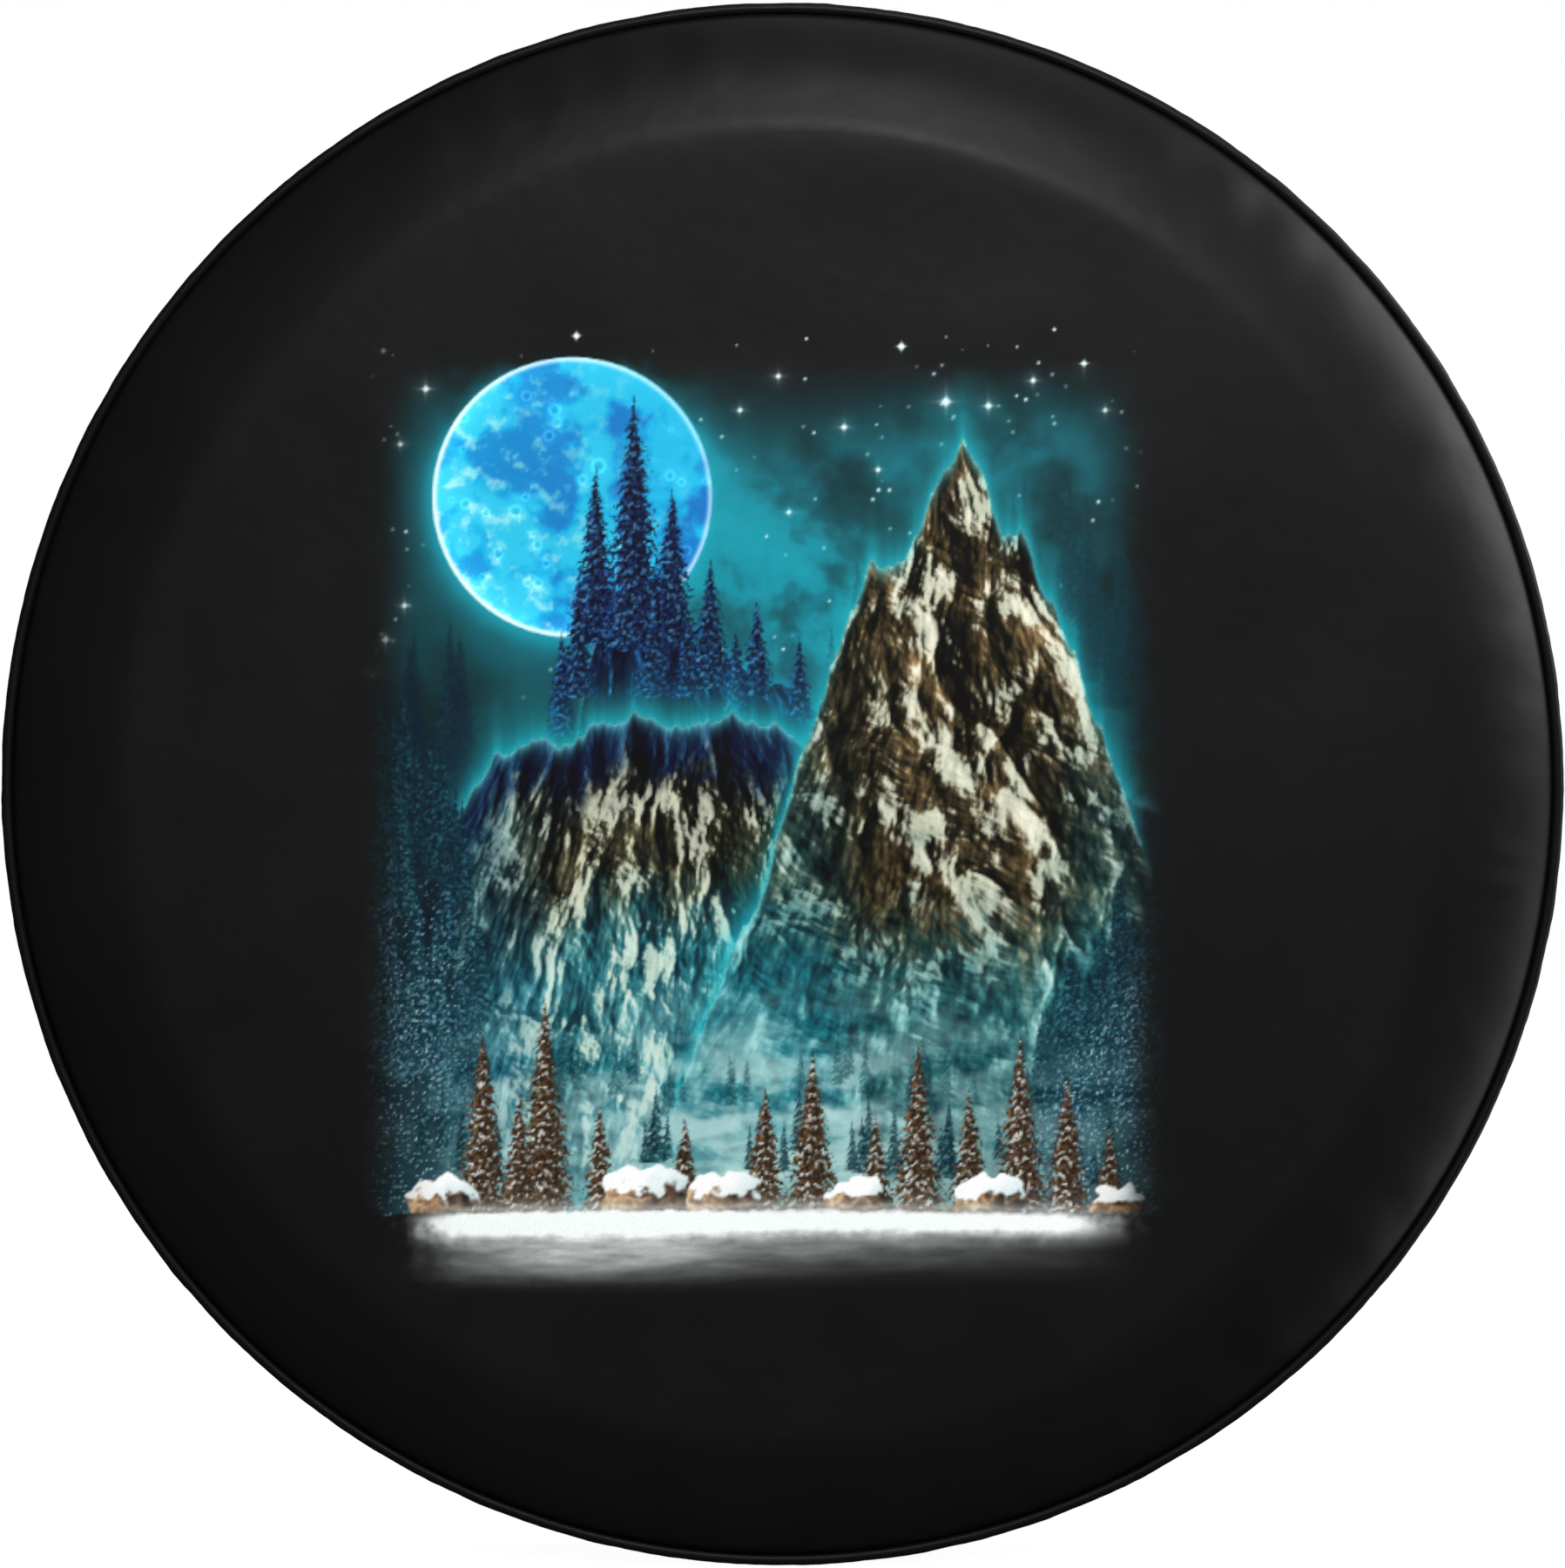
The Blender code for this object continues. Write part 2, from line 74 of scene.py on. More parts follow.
VINYL = -FACE_BOX[0].y / MM  # thickness of the coated fabric
BAND_R = BAND_BOX[1].z / MM
REAR_Y = BAND_BOX[1].y / MM
WELT_OUT = 2.6
WELT_R = WELT_BOX[1].x / MM - WELT_OUT + 0.17
WELT_Y = WELT_BOX[0].y / MM + WELT_OUT - 0.18
ALLOWANCE = FACE_BOX[1].y / MM - WELT_Y
SKIRT_EDGE_R = 267.5
HEM_R, HEM_Y = 261.5, REAR_Y - 0.6
HEM_INNER, HEM_OUTER, HEM_TAIL = 3.6, 4.4, 278.0
HEM_GAP = 4.5
LOCK = Vector(
    (0.0, (LOCK_BOX[0].y + LOCK_BOX[1].y) / 2 / MM, (LOCK_BOX[0].z + LOCK_BOX[1].z) / 2 / MM)
)
EYELET_R, EYELET_DEG, DRAIN_Y = 303.0, 20.0, 116.0


# ---------------------------------------------------------------- small maths
def smooth(a, b, x):
    t = np.clip((x - a) / (b - a), 0.0, 1.0)
    return t * t * (3 - 2 * t)


def wrap(d):
    """An angle brought to -180..180 degrees."""
    return (d + 180.0) % 360.0 - 180.0


def lumps(points, size, seed):
    """Smooth noise, about -0.5 to 0.5, at points of an array (..., 3) in mm."""
    p = points.reshape(-1, 3) / size
    turn = np.arctan2(p[:, 2], p[:, 0]) * 366.0 / size
    flat = field(p[:, 0] + seed * 7.3, p[:, 2] + seed * 3.1, seed + 500)
    # on the tread the noise runs round the wheel and along its axis
    wide = field(turn + seed * 5.7, p[:, 1], seed + 600)
    side = smooth(0.2, 0.8, points[..., 1].reshape(-1) / 60.0)
    return (flat * (1 - side) + wide * side).reshape(points.shape[:-1]).astype(float)


def ring_noise(theta, waves, seed, count=9):
    """Smooth periodic noise round the wheel's axis, about -1 to 1, with about this many waves."""
    rng = np.random.default_rng(seed)
    out = np.zeros_like(theta)
    for k in range(count):
        n = max(1, int(round(waves * rng.uniform(0.55, 1.45))))
        out += rng.uniform(0.5, 1.0) * np.sin(n * theta + rng.uniform(0, 2 * pi))
    return out / (0.75 * np.sqrt(count / 2) * 1.6)


# ---------------------------------------------------------------- mesh helpers
def to_object(name, verts, faces, mats, smooth_deg=50.0, face_mats=None):
    """A named mesh object from points in mm."""
    mesh = bpy.data.meshes.new(name)
    mesh.from_pydata((np.asarray(verts, float) * MM).tolist(), [], faces)
    for m in mats:
        mesh.materials.append(m)
    if face_mats is not None:
        mesh.polygons.foreach_set("material_index", np.asarray(face_mats, np.int32))
    bm = bmesh.new()
    bm.from_mesh(mesh)
    bmesh.ops.recalc_face_normals(bm, faces=bm.faces)
    if bm.calc_volume(signed=True) < 0:
        bmesh.ops.reverse_faces(bm, faces=bm.faces)
    bm.to_mesh(mesh)
    bm.free()
    mesh.shade_smooth()
    if smooth_deg < 180:
        mesh.set_sharp_from_angle(angle=radians(smooth_deg))
    obj = bpy.data.objects.new(name, mesh)
    bpy.context.scene.collection.objects.link(obj)
    return obj


def normals_of(grid, closed_u):
    """Unit normals of a grid (rows, columns, 3) from its neighbours."""
    du = (np.roll(grid, -1, 1) - np.roll(grid, 1, 1)) if closed_u else np.gradient(grid, axis=1)
    dv = np.gradient(grid, axis=0)
    n = np.cross(du, dv)
    return n / np.maximum(np.linalg.norm(n, axis=2, keepdims=True), 1e-9)


def skin(name, grid, thickness, mats, closed_u, pole=False, inner_mat=1):
    """A closed shell from a grid of outer points: outer face, inner face and edges. The inner face
    lies `thickness` along the grid's own normals. With pole, the first row is one point."""
    rows, cols = grid.shape[:2]
    n = normals_of(grid, closed_u)
    if pole:
        n[0] = n[1].mean(0) / np.linalg.norm(n[1].mean(0))
    inner = grid + n * thickness
    verts = np.concatenate([grid.reshape(-1, 3), inner.reshape(-1, 3)])
    base = rows * cols
    faces, mat = [], []
    span = cols if closed_u else cols - 1
    start = 1 if pole else 0
    for j in range(start, rows - 1):
        for i in range(span):
            k = (i + 1) % cols
            a, b, c, d = j * cols + i, j * cols + k, (j + 1) * cols + k, (j + 1) * cols + i
            faces.append((a, b, c, d))
            mat.append(0)
            faces.append((base + d, base + c, base + b, base + a))
            mat.append(inner_mat)
    if pole:
        for i in range(span):
            k = (i + 1) % cols
            faces.append((0, cols + k, cols + i))
            mat.append(0)
            faces.append((base, base + cols + i, base + cols + k))
            mat.append(inner_mat)
    edges = [rows - 1] if pole else [0, rows - 1]
    for j in edges:
        for i in range(span):
            k = (i + 1) % cols
            a, b = j * cols + i, j * cols + k
            faces.append((a, b, base + b, base + a))
            mat.append(0)
    if not closed_u:
        for i in (0, cols - 1):
            for j in range(rows - 1):
                a, b = j * cols + i, (j + 1) * cols + i
                faces.append((a, b, base + b, base + a))
                mat.append(0)
    used = sorted({v for f in faces for v in f})
    index = {v: i for i, v in enumerate(used)}
    faces = [tuple(index[v] for v in f) for f in faces]
    return to_object(name, verts[used], faces, mats, 60.0, mat)


def loft(name, rings, mats, closed=True, smooth_deg=50.0, uv_len=None):
    """A tube through rings of points (count, sides, 3) in mm, closed on itself or capped."""
    count, sides = rings.shape[:2]
    faces = []
    span = count if closed else count - 1
    for j in range(span):
        m = (j + 1) % count
        for i in range(sides):
            k = (i + 1) % sides
            faces.append((j * sides + i, j * sides + k, m * sides + k, m * sides + i))
    if not closed:
        faces.append(tuple(range(sides)))
        faces.append(tuple(range((count - 1) * sides, count * sides)))
    obj = to_object(name, rings.reshape(-1, 3), faces, mats, smooth_deg)
    if uv_len is not None:
        # u goes round the tube, v along it in mm
        uv = obj.data.uv_layers.new(name="along")
        v_at = np.repeat(uv_len, sides)
        u_at = np.tile(np.arange(sides) / sides, count)
        for poly in obj.data.polygons:
            us = [u_at[obj.data.loops[l].vertex_index] for l in poly.loop_indices]
            wraps = max(us) - min(us) > 0.5
            for l in poly.loop_indices:
                vi = obj.data.loops[l].vertex_index
                u = u_at[vi]
                uv.data[l].uv = (u + 1.0 if wraps and u < 0.5 else u, v_at[vi])
    return obj


def tube_rings(path, radius, sides):
    """Rings round a path (count, 3), with as little twist as it can have."""
    path = np.asarray(path, float)
    tangent = np.gradient(path, axis=0)
    tangent /= np.linalg.norm(tangent, axis=1, keepdims=True)
    side = np.cross(tangent[0], (0.0, 1.0, 0.2))
    side /= np.linalg.norm(side)
    radius = np.broadcast_to(radius, len(path))
    rings = []
    for p, t, r in zip(path, tangent, radius):
        side = side - t * (side @ t)
        side /= np.linalg.norm(side)
        up = np.cross(t, side)
        a = np.arange(sides) / sides * 2 * pi
        rings.append(p + r * (np.cos(a)[:, None] * side + np.sin(a)[:, None] * up))
    return np.array(rings)


def through(points, step=1.5):
    """A smooth path through points: Catmull-Rom, then evenly spaced."""
    p = np.asarray(points, float)
    p = np.concatenate([[2 * p[0] - p[1]], p, [2 * p[-1] - p[-2]]])
    out = []
    for a, b, c, d in zip(p, p[1:], p[2:], p[3:]):
        n = max(2, int(np.linalg.norm(c - b) / step * 2))
        for t in np.linspace(0, 1, n, endpoint=False):
            out.append(
                0.5
                * (
                    2 * b
                    + (c - a) * t
                    + (2 * a - 5 * b + 4 * c - d) * t * t
                    + (3 * b - a - 3 * c + d) * t**3
                )
            )
    out = np.array(out + [p[-2]])
    length = np.concatenate([[0], np.cumsum(np.linalg.norm(np.diff(out, axis=0), axis=1))])
    even = np.linspace(0, length[-1], max(2, int(length[-1] / step)))
    return np.stack([np.interp(even, length, out[:, i]) for i in range(3)], 1)


def spun(name, section, steps, matrix, mats, smooth_deg=40.0):
    """A section of (radius, height) in mm spun about the local Z axis of the matrix."""
    bm = bmesh.new()
    verts = [bm.verts.new((r * MM, 0, h * MM)) for r, h in section]
    edges = [bm.edges.new(pair) for pair in zip(verts, verts[1:])]
    if section[0][0] != 0.0:
        edges.append(bm.edges.new((verts[-1], verts[0])))
    bmesh.ops.spin(
        bm, geom=verts + edges, cent=(0, 0, 0), axis=(0, 0, 1), angle=2 * pi,
        steps=steps, use_merge=True, use_duplicate=False,
    )
    bmesh.ops.remove_doubles(bm, verts=bm.verts, dist=1e-6)
    bmesh.ops.recalc_face_normals(bm, faces=bm.faces)
    if bm.calc_volume(signed=True) < 0:
        bmesh.ops.reverse_faces(bm, faces=bm.faces)
    bm.transform(matrix)
    mesh = bpy.data.meshes.new(name)
    bm.to_mesh(mesh)
    bm.free()
    for m in mats:
        mesh.materials.append(m)
    mesh.shade_smooth()
    mesh.set_sharp_from_angle(angle=radians(smooth_deg))
    obj = bpy.data.objects.new(name, mesh)
    bpy.context.scene.collection.objects.link(obj)
    return obj


def applied(obj):
    """Bakes an object's modifiers into its mesh."""
    dg = bpy.context.evaluated_depsgraph_get()
    mesh = bpy.data.meshes.new_from_object(obj.evaluated_get(dg))
    old = obj.data
    obj.modifiers.clear()
    obj.data = mesh
    bpy.data.meshes.remove(old)
    return obj


def block(size, place, corner, segments=6):
    """A rounded cutter block, in mm, for cross holes along Z."""
    bm = bmesh.new()
    bmesh.ops.create_cube(bm, size=1.0)
    bmesh.ops.scale(bm, vec=Vector(size) * MM, verts=bm.verts)
    upright = [e for e in bm.edges if abs((e.verts[0].co - e.verts[1].co).normalized().z) > 0.9]
    bmesh.ops.bevel(bm, geom=upright, offset=corner * MM, segments=segments, profile=0.5, affect="EDGES")
    bmesh.ops.translate(bm, vec=Vector(place) * MM, verts=bm.verts)
    mesh = bpy.data.meshes.new("cutter")
    bm.to_mesh(mesh)
    bm.free()
    obj = bpy.data.objects.new("cutter", mesh)
    bpy.context.scene.collection.objects.link(obj)
    return obj


def cut(obj, cutter):
    mod = obj.modifiers.new("cut", "BOOLEAN")
    mod.operation, mod.solver, mod.object = "DIFFERENCE", "EXACT", cutter
    applied(obj)
    bpy.data.objects.remove(cutter)
    obj.data.shade_smooth()
    obj.data.set_sharp_from_angle(angle=radians(35))
    return obj


def stitches(name, points, normals, pitch, length, radius, mat, lift=0.15, sides=6):
    """A run of lockstitches along a path that lies on a surface: short arched threads that dive
    into the cloth at both ends."""
    points, normals = np.asarray(points, float), np.asarray(normals, float)
    run = np.concatenate([[0], np.cumsum(np.linalg.norm(np.diff(points, axis=0), axis=1))])
    total = int(run[-1] / pitch)
    rows = 5
    verts, faces = [], []
    t = np.linspace(-0.5, 0.5, rows)
    a = np.arange(sides) / sides * 2 * pi
    for i in range(total):
        centre = (i + 0.5) * pitch
        at_run = centre + t * length
        p = np.stack([np.interp(at_run, run, points[:, k]) for k in range(3)], 1)
        n = np.stack([np.interp(at_run, run, normals[:, k]) for k in range(3)], 1)
        n /= np.linalg.norm(n, axis=1, keepdims=True)
        along = np.gradient(p, axis=0)
        along /= np.linalg.norm(along, axis=1, keepdims=True)
        side = np.cross(n, along)
        p = p + n * (lift - (radius + lift + 0.1) * (2 * np.abs(t)[:, None]) ** 3)
        first = len(verts)
        for j in range(rows):
            r = radius * (1.0 if 0 < j < rows - 1 else 0.72)
            verts.extend(p[j] + r * (np.cos(a)[:, None] * side[j] + np.sin(a)[:, None] * n[j]))
        for j in range(rows - 1):
            for k in range(sides):
                m = (k + 1) % sides
                faces.append((first + j * sides + k, first + j * sides + m,
                              first + (j + 1) * sides + m, first + (j + 1) * sides + k))
        faces.append(tuple(first + k for k in reversed(range(sides))))
        faces.append(tuple(first + (rows - 1) * sides + k for k in range(sides)))
    mesh = bpy.data.meshes.new(name)
    mesh.from_pydata((np.asarray(verts) * MM).tolist(), [], faces)
    mesh.materials.append(mat)
    bm = bmesh.new()
    bm.from_mesh(mesh)
    bmesh.ops.recalc_face_normals(bm, faces=bm.faces)
    bm.to_mesh(mesh)
    bm.free()
    mesh.shade_smooth()
    obj = bpy.data.objects.new(name, mesh)
    bpy.context.scene.collection.objects.link(obj)
    return obj


# ---------------------------------------------------------------- shader arithmetic
class Sig:
    """A socket of a shader's node tree that arithmetic can be done on."""

    def __init__(self, tree, socket):
        self.tree, self.socket = tree, socket

    def op(self, kind, *others, clamp=False):
        n = self.tree.nodes.new("ShaderNodeMath")
        n.operation, n.use_clamp, n.hide = kind, clamp, True
        for i, v in enumerate((self,) + others):
            if isinstance(v, Sig):
                self.tree.links.new(v.socket, n.inputs[i])
            else:
                n.inputs[i].default_value = float(v)
        return Sig(self.tree, n.outputs[0])

    def __add__(self, o):
        return self.op("ADD", o)

    __radd__ = __add__

    def __mul__(self, o):
        return self.op("MULTIPLY", o)

    __rmul__ = __mul__

    def __sub__(self, o):
        return self.op("SUBTRACT", o)

    def __rsub__(self, o):
        return (self * -1.0).op("ADD", o)

    def __truediv__(self, o):
        return self.op("DIVIDE", o)

    def __neg__(self):
        return self * -1.0

    def max(self, o):
        return self.op("MAXIMUM", o)

    def min(self, o):
        return self.op("MINIMUM", o)

    def abs(self):
        return self.op("ABSOLUTE")

    def floor(self):
        return self.op("FLOOR")

    def fract(self):
        return self.op("FRACT")

    def sin(self):
        return self.op("SINE")

    def pow(self, e):
        return self.max(0.0).op("POWER", e)

    def sqrt(self):
        return self.op("SQRT")

    def exp(self):
        return self.op("EXPONENT")

    def clamp(self):
        return self.op("ADD", 0.0, clamp=True)

    def ramp(self, a, b):
        """0 at a, 1 at b, and straight between, clamped."""
        return self.op("MULTIPLY_ADD", 1.0 / (b - a), -a / (b - a), clamp=True)

    def ease(self, a, b):
        n = self.tree.nodes.new("ShaderNodeMapRange")
        n.interpolation_type, n.hide = "SMOOTHSTEP", True
        self.tree.links.new(self.socket, n.inputs["Value"])
        n.inputs["From Min"].default_value, n.inputs["From Max"].default_value = a, b
        return Sig(self.tree, n.outputs["Result"])


def noise_sig(tree, vector, scale=1.0, detail=2.0, rough=0.5, dims="2D", distort=0.0):
    n = tree.nodes.new("ShaderNodeTexNoise")
    n.noise_dimensions, n.hide = dims, True
    tree.links.new(vector, n.inputs["Vector"])
    n.inputs["Scale"].default_value = scale
    n.inputs["Detail"].default_value = detail
    n.inputs["Roughness"].default_value = rough
    n.inputs["Distortion"].default_value = distort
    return Sig(tree, n.outputs["Fac"])


def cells(tree, vector, scale, feature="F1", dims="2D", randomness=1.0):
    n = tree.nodes.new("ShaderNodeTexVoronoi")
    n.voronoi_dimensions, n.feature, n.hide = dims, feature, True
    tree.links.new(vector, n.inputs["Vector"])
    n.inputs["Scale"].default_value = scale
    n.inputs["Randomness"].default_value = randomness
    return n


def mixed(tree, fac, a, b):
    """Colour a where fac is 0, colour b where it is 1. Colours are tuples or sockets."""
    n = tree.nodes.new("ShaderNodeMix")
    n.data_type, n.hide = "RGBA", True
    ports = [s for s in n.inputs if s.type == "RGBA"]
    if isinstance(fac, Sig):
        tree.links.new(fac.socket, n.inputs["Factor"])
    else:
        n.inputs["Factor"].default_value = fac
    for port, c in zip(ports, (a, b)):
        if isinstance(c, tuple):
            port.default_value = (*c, 1.0)
        else:
            tree.links.new(c, port)
    return [s for s in n.outputs if s.type == "RGBA"][0]


# ---------------------------------------------------------------- the print
ART_STEP = 0.6  # mm between the painted samples
ART_X0, ART_X1, ART_Z0, ART_Z1 = -206.0, 188.0, -250.0, 222.0


def _fade(t):
    return t * t * t * (t * (t * 6 - 15) + 10)


GRADIENTS = {}


def field(x, y, seed):
    """Gradient noise, about -0.7 to 0.7, over arrays."""
    seed = int(seed)
    if seed not in GRADIENTS:
        angle = np.random.default_rng(seed).uniform(0, 2 * pi, (256, 256)).astype(np.float32)
        GRADIENTS[seed] = np.cos(angle), np.sin(angle)
    gx, gy = GRADIENTS[seed]
    xf, yf = np.floor(x), np.floor(y)
    xi, yi = xf.astype(np.int32) & 255, yf.astype(np.int32) & 255
    fx, fy = (x - xf).astype(np.float32), (y - yf).astype(np.float32)
    xj, yj = (xi + 1) & 255, (yi + 1) & 255
    u, v = _fade(fx), _fade(fy)
    a = gx[yi, xi] * fx + gy[yi, xi] * fy
    b = gx[yi, xj] * (fx - 1) + gy[yi, xj] * fy
    c = gx[yj, xi] * fx + gy[yj, xi] * (fy - 1)
    d = gx[yj, xj] * (fx - 1) + gy[yj, xj] * (fy - 1)
    top = a + (b - a) * u
    return top + (c + (d - c) * u - top) * v


def clouds(x, y, size, seed, octaves=4, gain=0.5):
    """Layers of noise, brought to about 0 to 1."""
    out, amp, total, k = 0.0, 1.0, 0.0, 1.0 / size
    for i in range(octaves):
        out = out + amp * field(x * k + 13.7 * i, y * k + 7.1 * i, seed + i)
        total += amp
        amp *= gain
        k *= 2.03
    return 0.5 + out / total * 0.95


def crests(x, y, size, seed, octaves=4, gain=0.55):
    """Sharp-crested noise, 0 to 1, high on the crests."""
    out, amp, total, k, weight = 0.0, 1.0, 0.0, 1.0 / size, 1.0
    for i in range(octaves):
        r = 1.0 - np.abs(field(x * k + 3.3 * i, y * k + 9.9 * i, seed + i)) * 1.9
        r = np.clip(r, 0, 1) ** 2 * weight
        out = out + amp * r
        total += amp
        weight = np.clip(r * 1.6, 0, 1)
        amp *= gain
        k *= 2.1
    return out / total


def paint_landscape():
    """A generic moonlit mountain, forest and snowy shore. Returns display colours (rows, columns, 3)
    of 0 to 1, and how much ink there is (rows, columns)."""
    xs = np.arange(ART_X0, ART_X1, ART_STEP, dtype=np.float32)
    zs = np.arange(ART_Z1, ART_Z0, -ART_STEP, dtype=np.float32)
    x, z = np.meshgrid(xs, zs)
    rows, cols = x.shape
    rng = np.random.default_rng(77)
    dark = np.array((0.098, 0.098, 0.100), np.float32)
    pic = np.tile(dark, (rows, cols, 1)).astype(np.float32)

    def ink(r, g, b):
        return np.array((r, g, b), np.float32) / 255.0

    def over(mask, colour):
        m = np.clip(mask, 0, 1)[..., None]
        pic[:] = pic * (1 - m) + colour * m

    def glowing(mask, colour):
        m = np.clip(mask, 0, None)[..., None]
        pic[:] = 1 - (1 - pic) * (1 - np.clip(m * colour, 0, 1))

    def step(a, b, v):
        return smooth(a, b, v).astype(np.float32)

    def blend(t, *stops):
        """A colour along stops [(t, colour), ...]."""
        t = np.clip(t, 0, 1)
        ts = [s[0] for s in stops]
        return np.stack([np.interp(t, ts, [s[1][k] for s in stops]) for k in range(3)], -1).astype(np.float32)

    def blob(cx, cz, sx, sz):
        return np.exp(-(((x - cx) / sx) ** 2) - ((z - cz) / sz) ** 2)

    grain = clouds(x, z, 7.0, 3, 3) - 0.5
    cloud = clouds(x, z, 46.0, 5, 5, 0.55)

    # ---- sky
    mx, mz, mr = -99.0, 135.0, 66.0
    dm = np.hypot(x - mx, z - mz)
    beyond = np.clip(dm - mr, 0, None)
    teal = blob(95, 168, 66, 34) * 0.80 + blob(8, 92, 58, 62) * 1.05 + blob(140, 60, 40, 90) * 0.62
    teal = teal + blob(-140, 20, 46, 80) * 0.22 + blob(-186, -40, 30, 120) * 0.25 + blob(165, -60, 26, 120) * 0.35
    teal = teal * (0.35 + 0.9 * step(0.25, 0.75, cloud)) + np.exp(-beyond / 9.0) * 0.80 + np.exp(-((beyond / 42.0) ** 2)) * 0.30
    teal = teal * step(216.0, 150.0, z + (cloud - 0.5) * 52.0 + grain * 8) * step(-206, -168, x) * step(190, 140, x)
    over(np.clip(teal, 0, 1), ink(0, 122, 138))
    glowing(np.clip(teal - 0.7, 0, 1) * 0.55, ink(0, 120, 140))

    # ---- stars
    def star(sx, sz, size, level, flare):
        k = 16.0 if flare else 4.0
        c0, c1 = int((sx - k - ART_X0) / ART_STEP), int((sx + k - ART_X0) / ART_STEP)
        r0, r1 = int((ART_Z1 - sz - k) / ART_STEP), int((ART_Z1 - sz + k) / ART_STEP)
        c0, r0, c1, r1 = max(c0, 0), max(r0, 0), min(c1, cols), min(r1, rows)
        if c1 <= c0 or r1 <= r0:
            return
        dx, dz = x[r0:r1, c0:c1] - sx, z[r0:r1, c0:c1] - sz
        d = np.hypot(dx, dz)
        m = np.exp(-((d / size) ** 2)) * 1.3
        if flare:
            m = m + np.exp(-np.abs(dx) / (2.2 * size)) * np.exp(-((dz / 0.42) ** 2)) * 0.8
            m = m + np.exp(-np.abs(dz) / (2.2 * size)) * np.exp(-((dx / 0.42) ** 2)) * 0.8
            m = m + np.exp(-d / (2.6 * size)) * 0.30
        m = np.clip(m * level, 0, 1)[..., None]
        part = pic[r0:r1, c0:c1]
        part[:] = part * (1 - m) + np.array((0.90, 0.985, 1.0), np.float32) * m

    for _ in range(330):
        sx, sz = rng.uniform(-200, 170), rng.uniform(25, 213)
        near = 0.30 + 0.9 * exp2(-(((sx - 98) / 60) ** 2 + ((sz - 165) / 42) ** 2)) + 0.5 * exp2(-(((sx + 190) / 16) ** 2))
        near += 0.45 * exp2(-(((sx + 5) / 40) ** 2 + ((sz - 150) / 50) ** 2))
        if hypot(sx - mx, sz - mz) < mr + 4 or rng.uniform() > near:
            continue
        star(sx, sz, rng.uniform(0.45, 0.8), rng.uniform(0.25, 0.95), False)
    for sx, sz, size, level in (
        (-188, 204, 1.0, 0.9), (-97, 211, 1.1, 0.95), (56, 206, 1.2, 1.0), (77, 180, 1.5, 1.0), (97, 178, 1.1, 0.9),
        (118, 190, 0.9, 0.8), (142, 198, 1.0, 0.85), (29, 168, 1.0, 0.8), (-2, 192, 0.9, 0.75), (45, 148, 0.8, 0.7),
        (-20, 176, 0.8, 0.7), (128, 214, 0.8, 0.5), (-201 + 14, 68, 1.0, 0.9), (-196, 52, 1.3, 1.0), (-178, 84, 0.9, 0.85),
        (-168, 186, 1.0, 0.85), (-180, 160, 0.8, 0.7), (-186, 20, 0.9, 0.8), (3, 128, 0.8, 0.7), (152, 176, 0.8, 0.7),
    ):
        star(sx, sz, size, level, True)

    # ---- moon
    ux, uz = (x - mx) / mr, (z - mz) / mr
    seas = clouds(x + 31, z, 34.0, 11, 5, 0.55)
    dust = clouds(x, z - 50, 10.0, 12, 5, 0.65)
    side = np.clip(0.5 - ux * 0.42 - uz * 0.16, 0, 1)
    moon = blend(step(0.40, 0.62, seas) * 0.8 + ux * 0.18, (0.0, ink(36, 178, 214)), (0.45, ink(8, 150, 204)), (1.0, ink(10, 98, 172)))
    pale = np.clip(step(0.50, 0.74, dust) * (side * 1.1), 0, 1) * 0.72
    moon = moon * (1 - pale[..., None]) + ink(186, 226, 222) * pale[..., None]
    for _ in range(46):
        a, q = rng.uniform(0, 2 * pi), np.sqrt(rng.uniform(0, 0.93))
        cx, cz, cr = mx + q * mr * cos(a), mz + q * mr * sin(a), rng.uniform(0.6, 1.9) ** 1.6 * (1.2 - 0.5 * q)
        c0, c1 = int((cx - 18 - ART_X0) / ART_STEP), int((cx + 18 - ART_X0) / ART_STEP)
        r0, r1 = int((ART_Z1 - cz - 18) / ART_STEP), int((ART_Z1 - cz + 18) / ART_STEP)
        c0, r0 = max(c0, 0), max(r0, 0)
        d = np.hypot(x[r0:r1, c0:c1] - cx, z[r0:r1, c0:c1] - cz) / cr
        ring = np.exp(-(((d - 1.0) / 0.3) ** 2)) * 0.13 - np.exp(-((d / 0.8) ** 4)) * 0.08
        rays = np.exp(-d / 2.0) * 0.06
        moon[r0:r1, c0:c1] += (ring + rays)[..., None] * ink(220, 250, 255)
    limb = np.exp(-(mr - dm) / 10.0)
    moon = moon + (limb * (0.02 + 0.24 * side))[..., None] * ink(150, 235, 245)
    line = np.exp(-(((mr - dm - 1.0) / 1.25) ** 2)) * np.clip(0.55 + side * 0.55, 0, 1)
    moon = moon * (1 - line[..., None]) + ink(236, 252, 255) * line[..., None]
    over(step(0.35, -0.35, dm - mr), np.clip(moon, 0, 1))

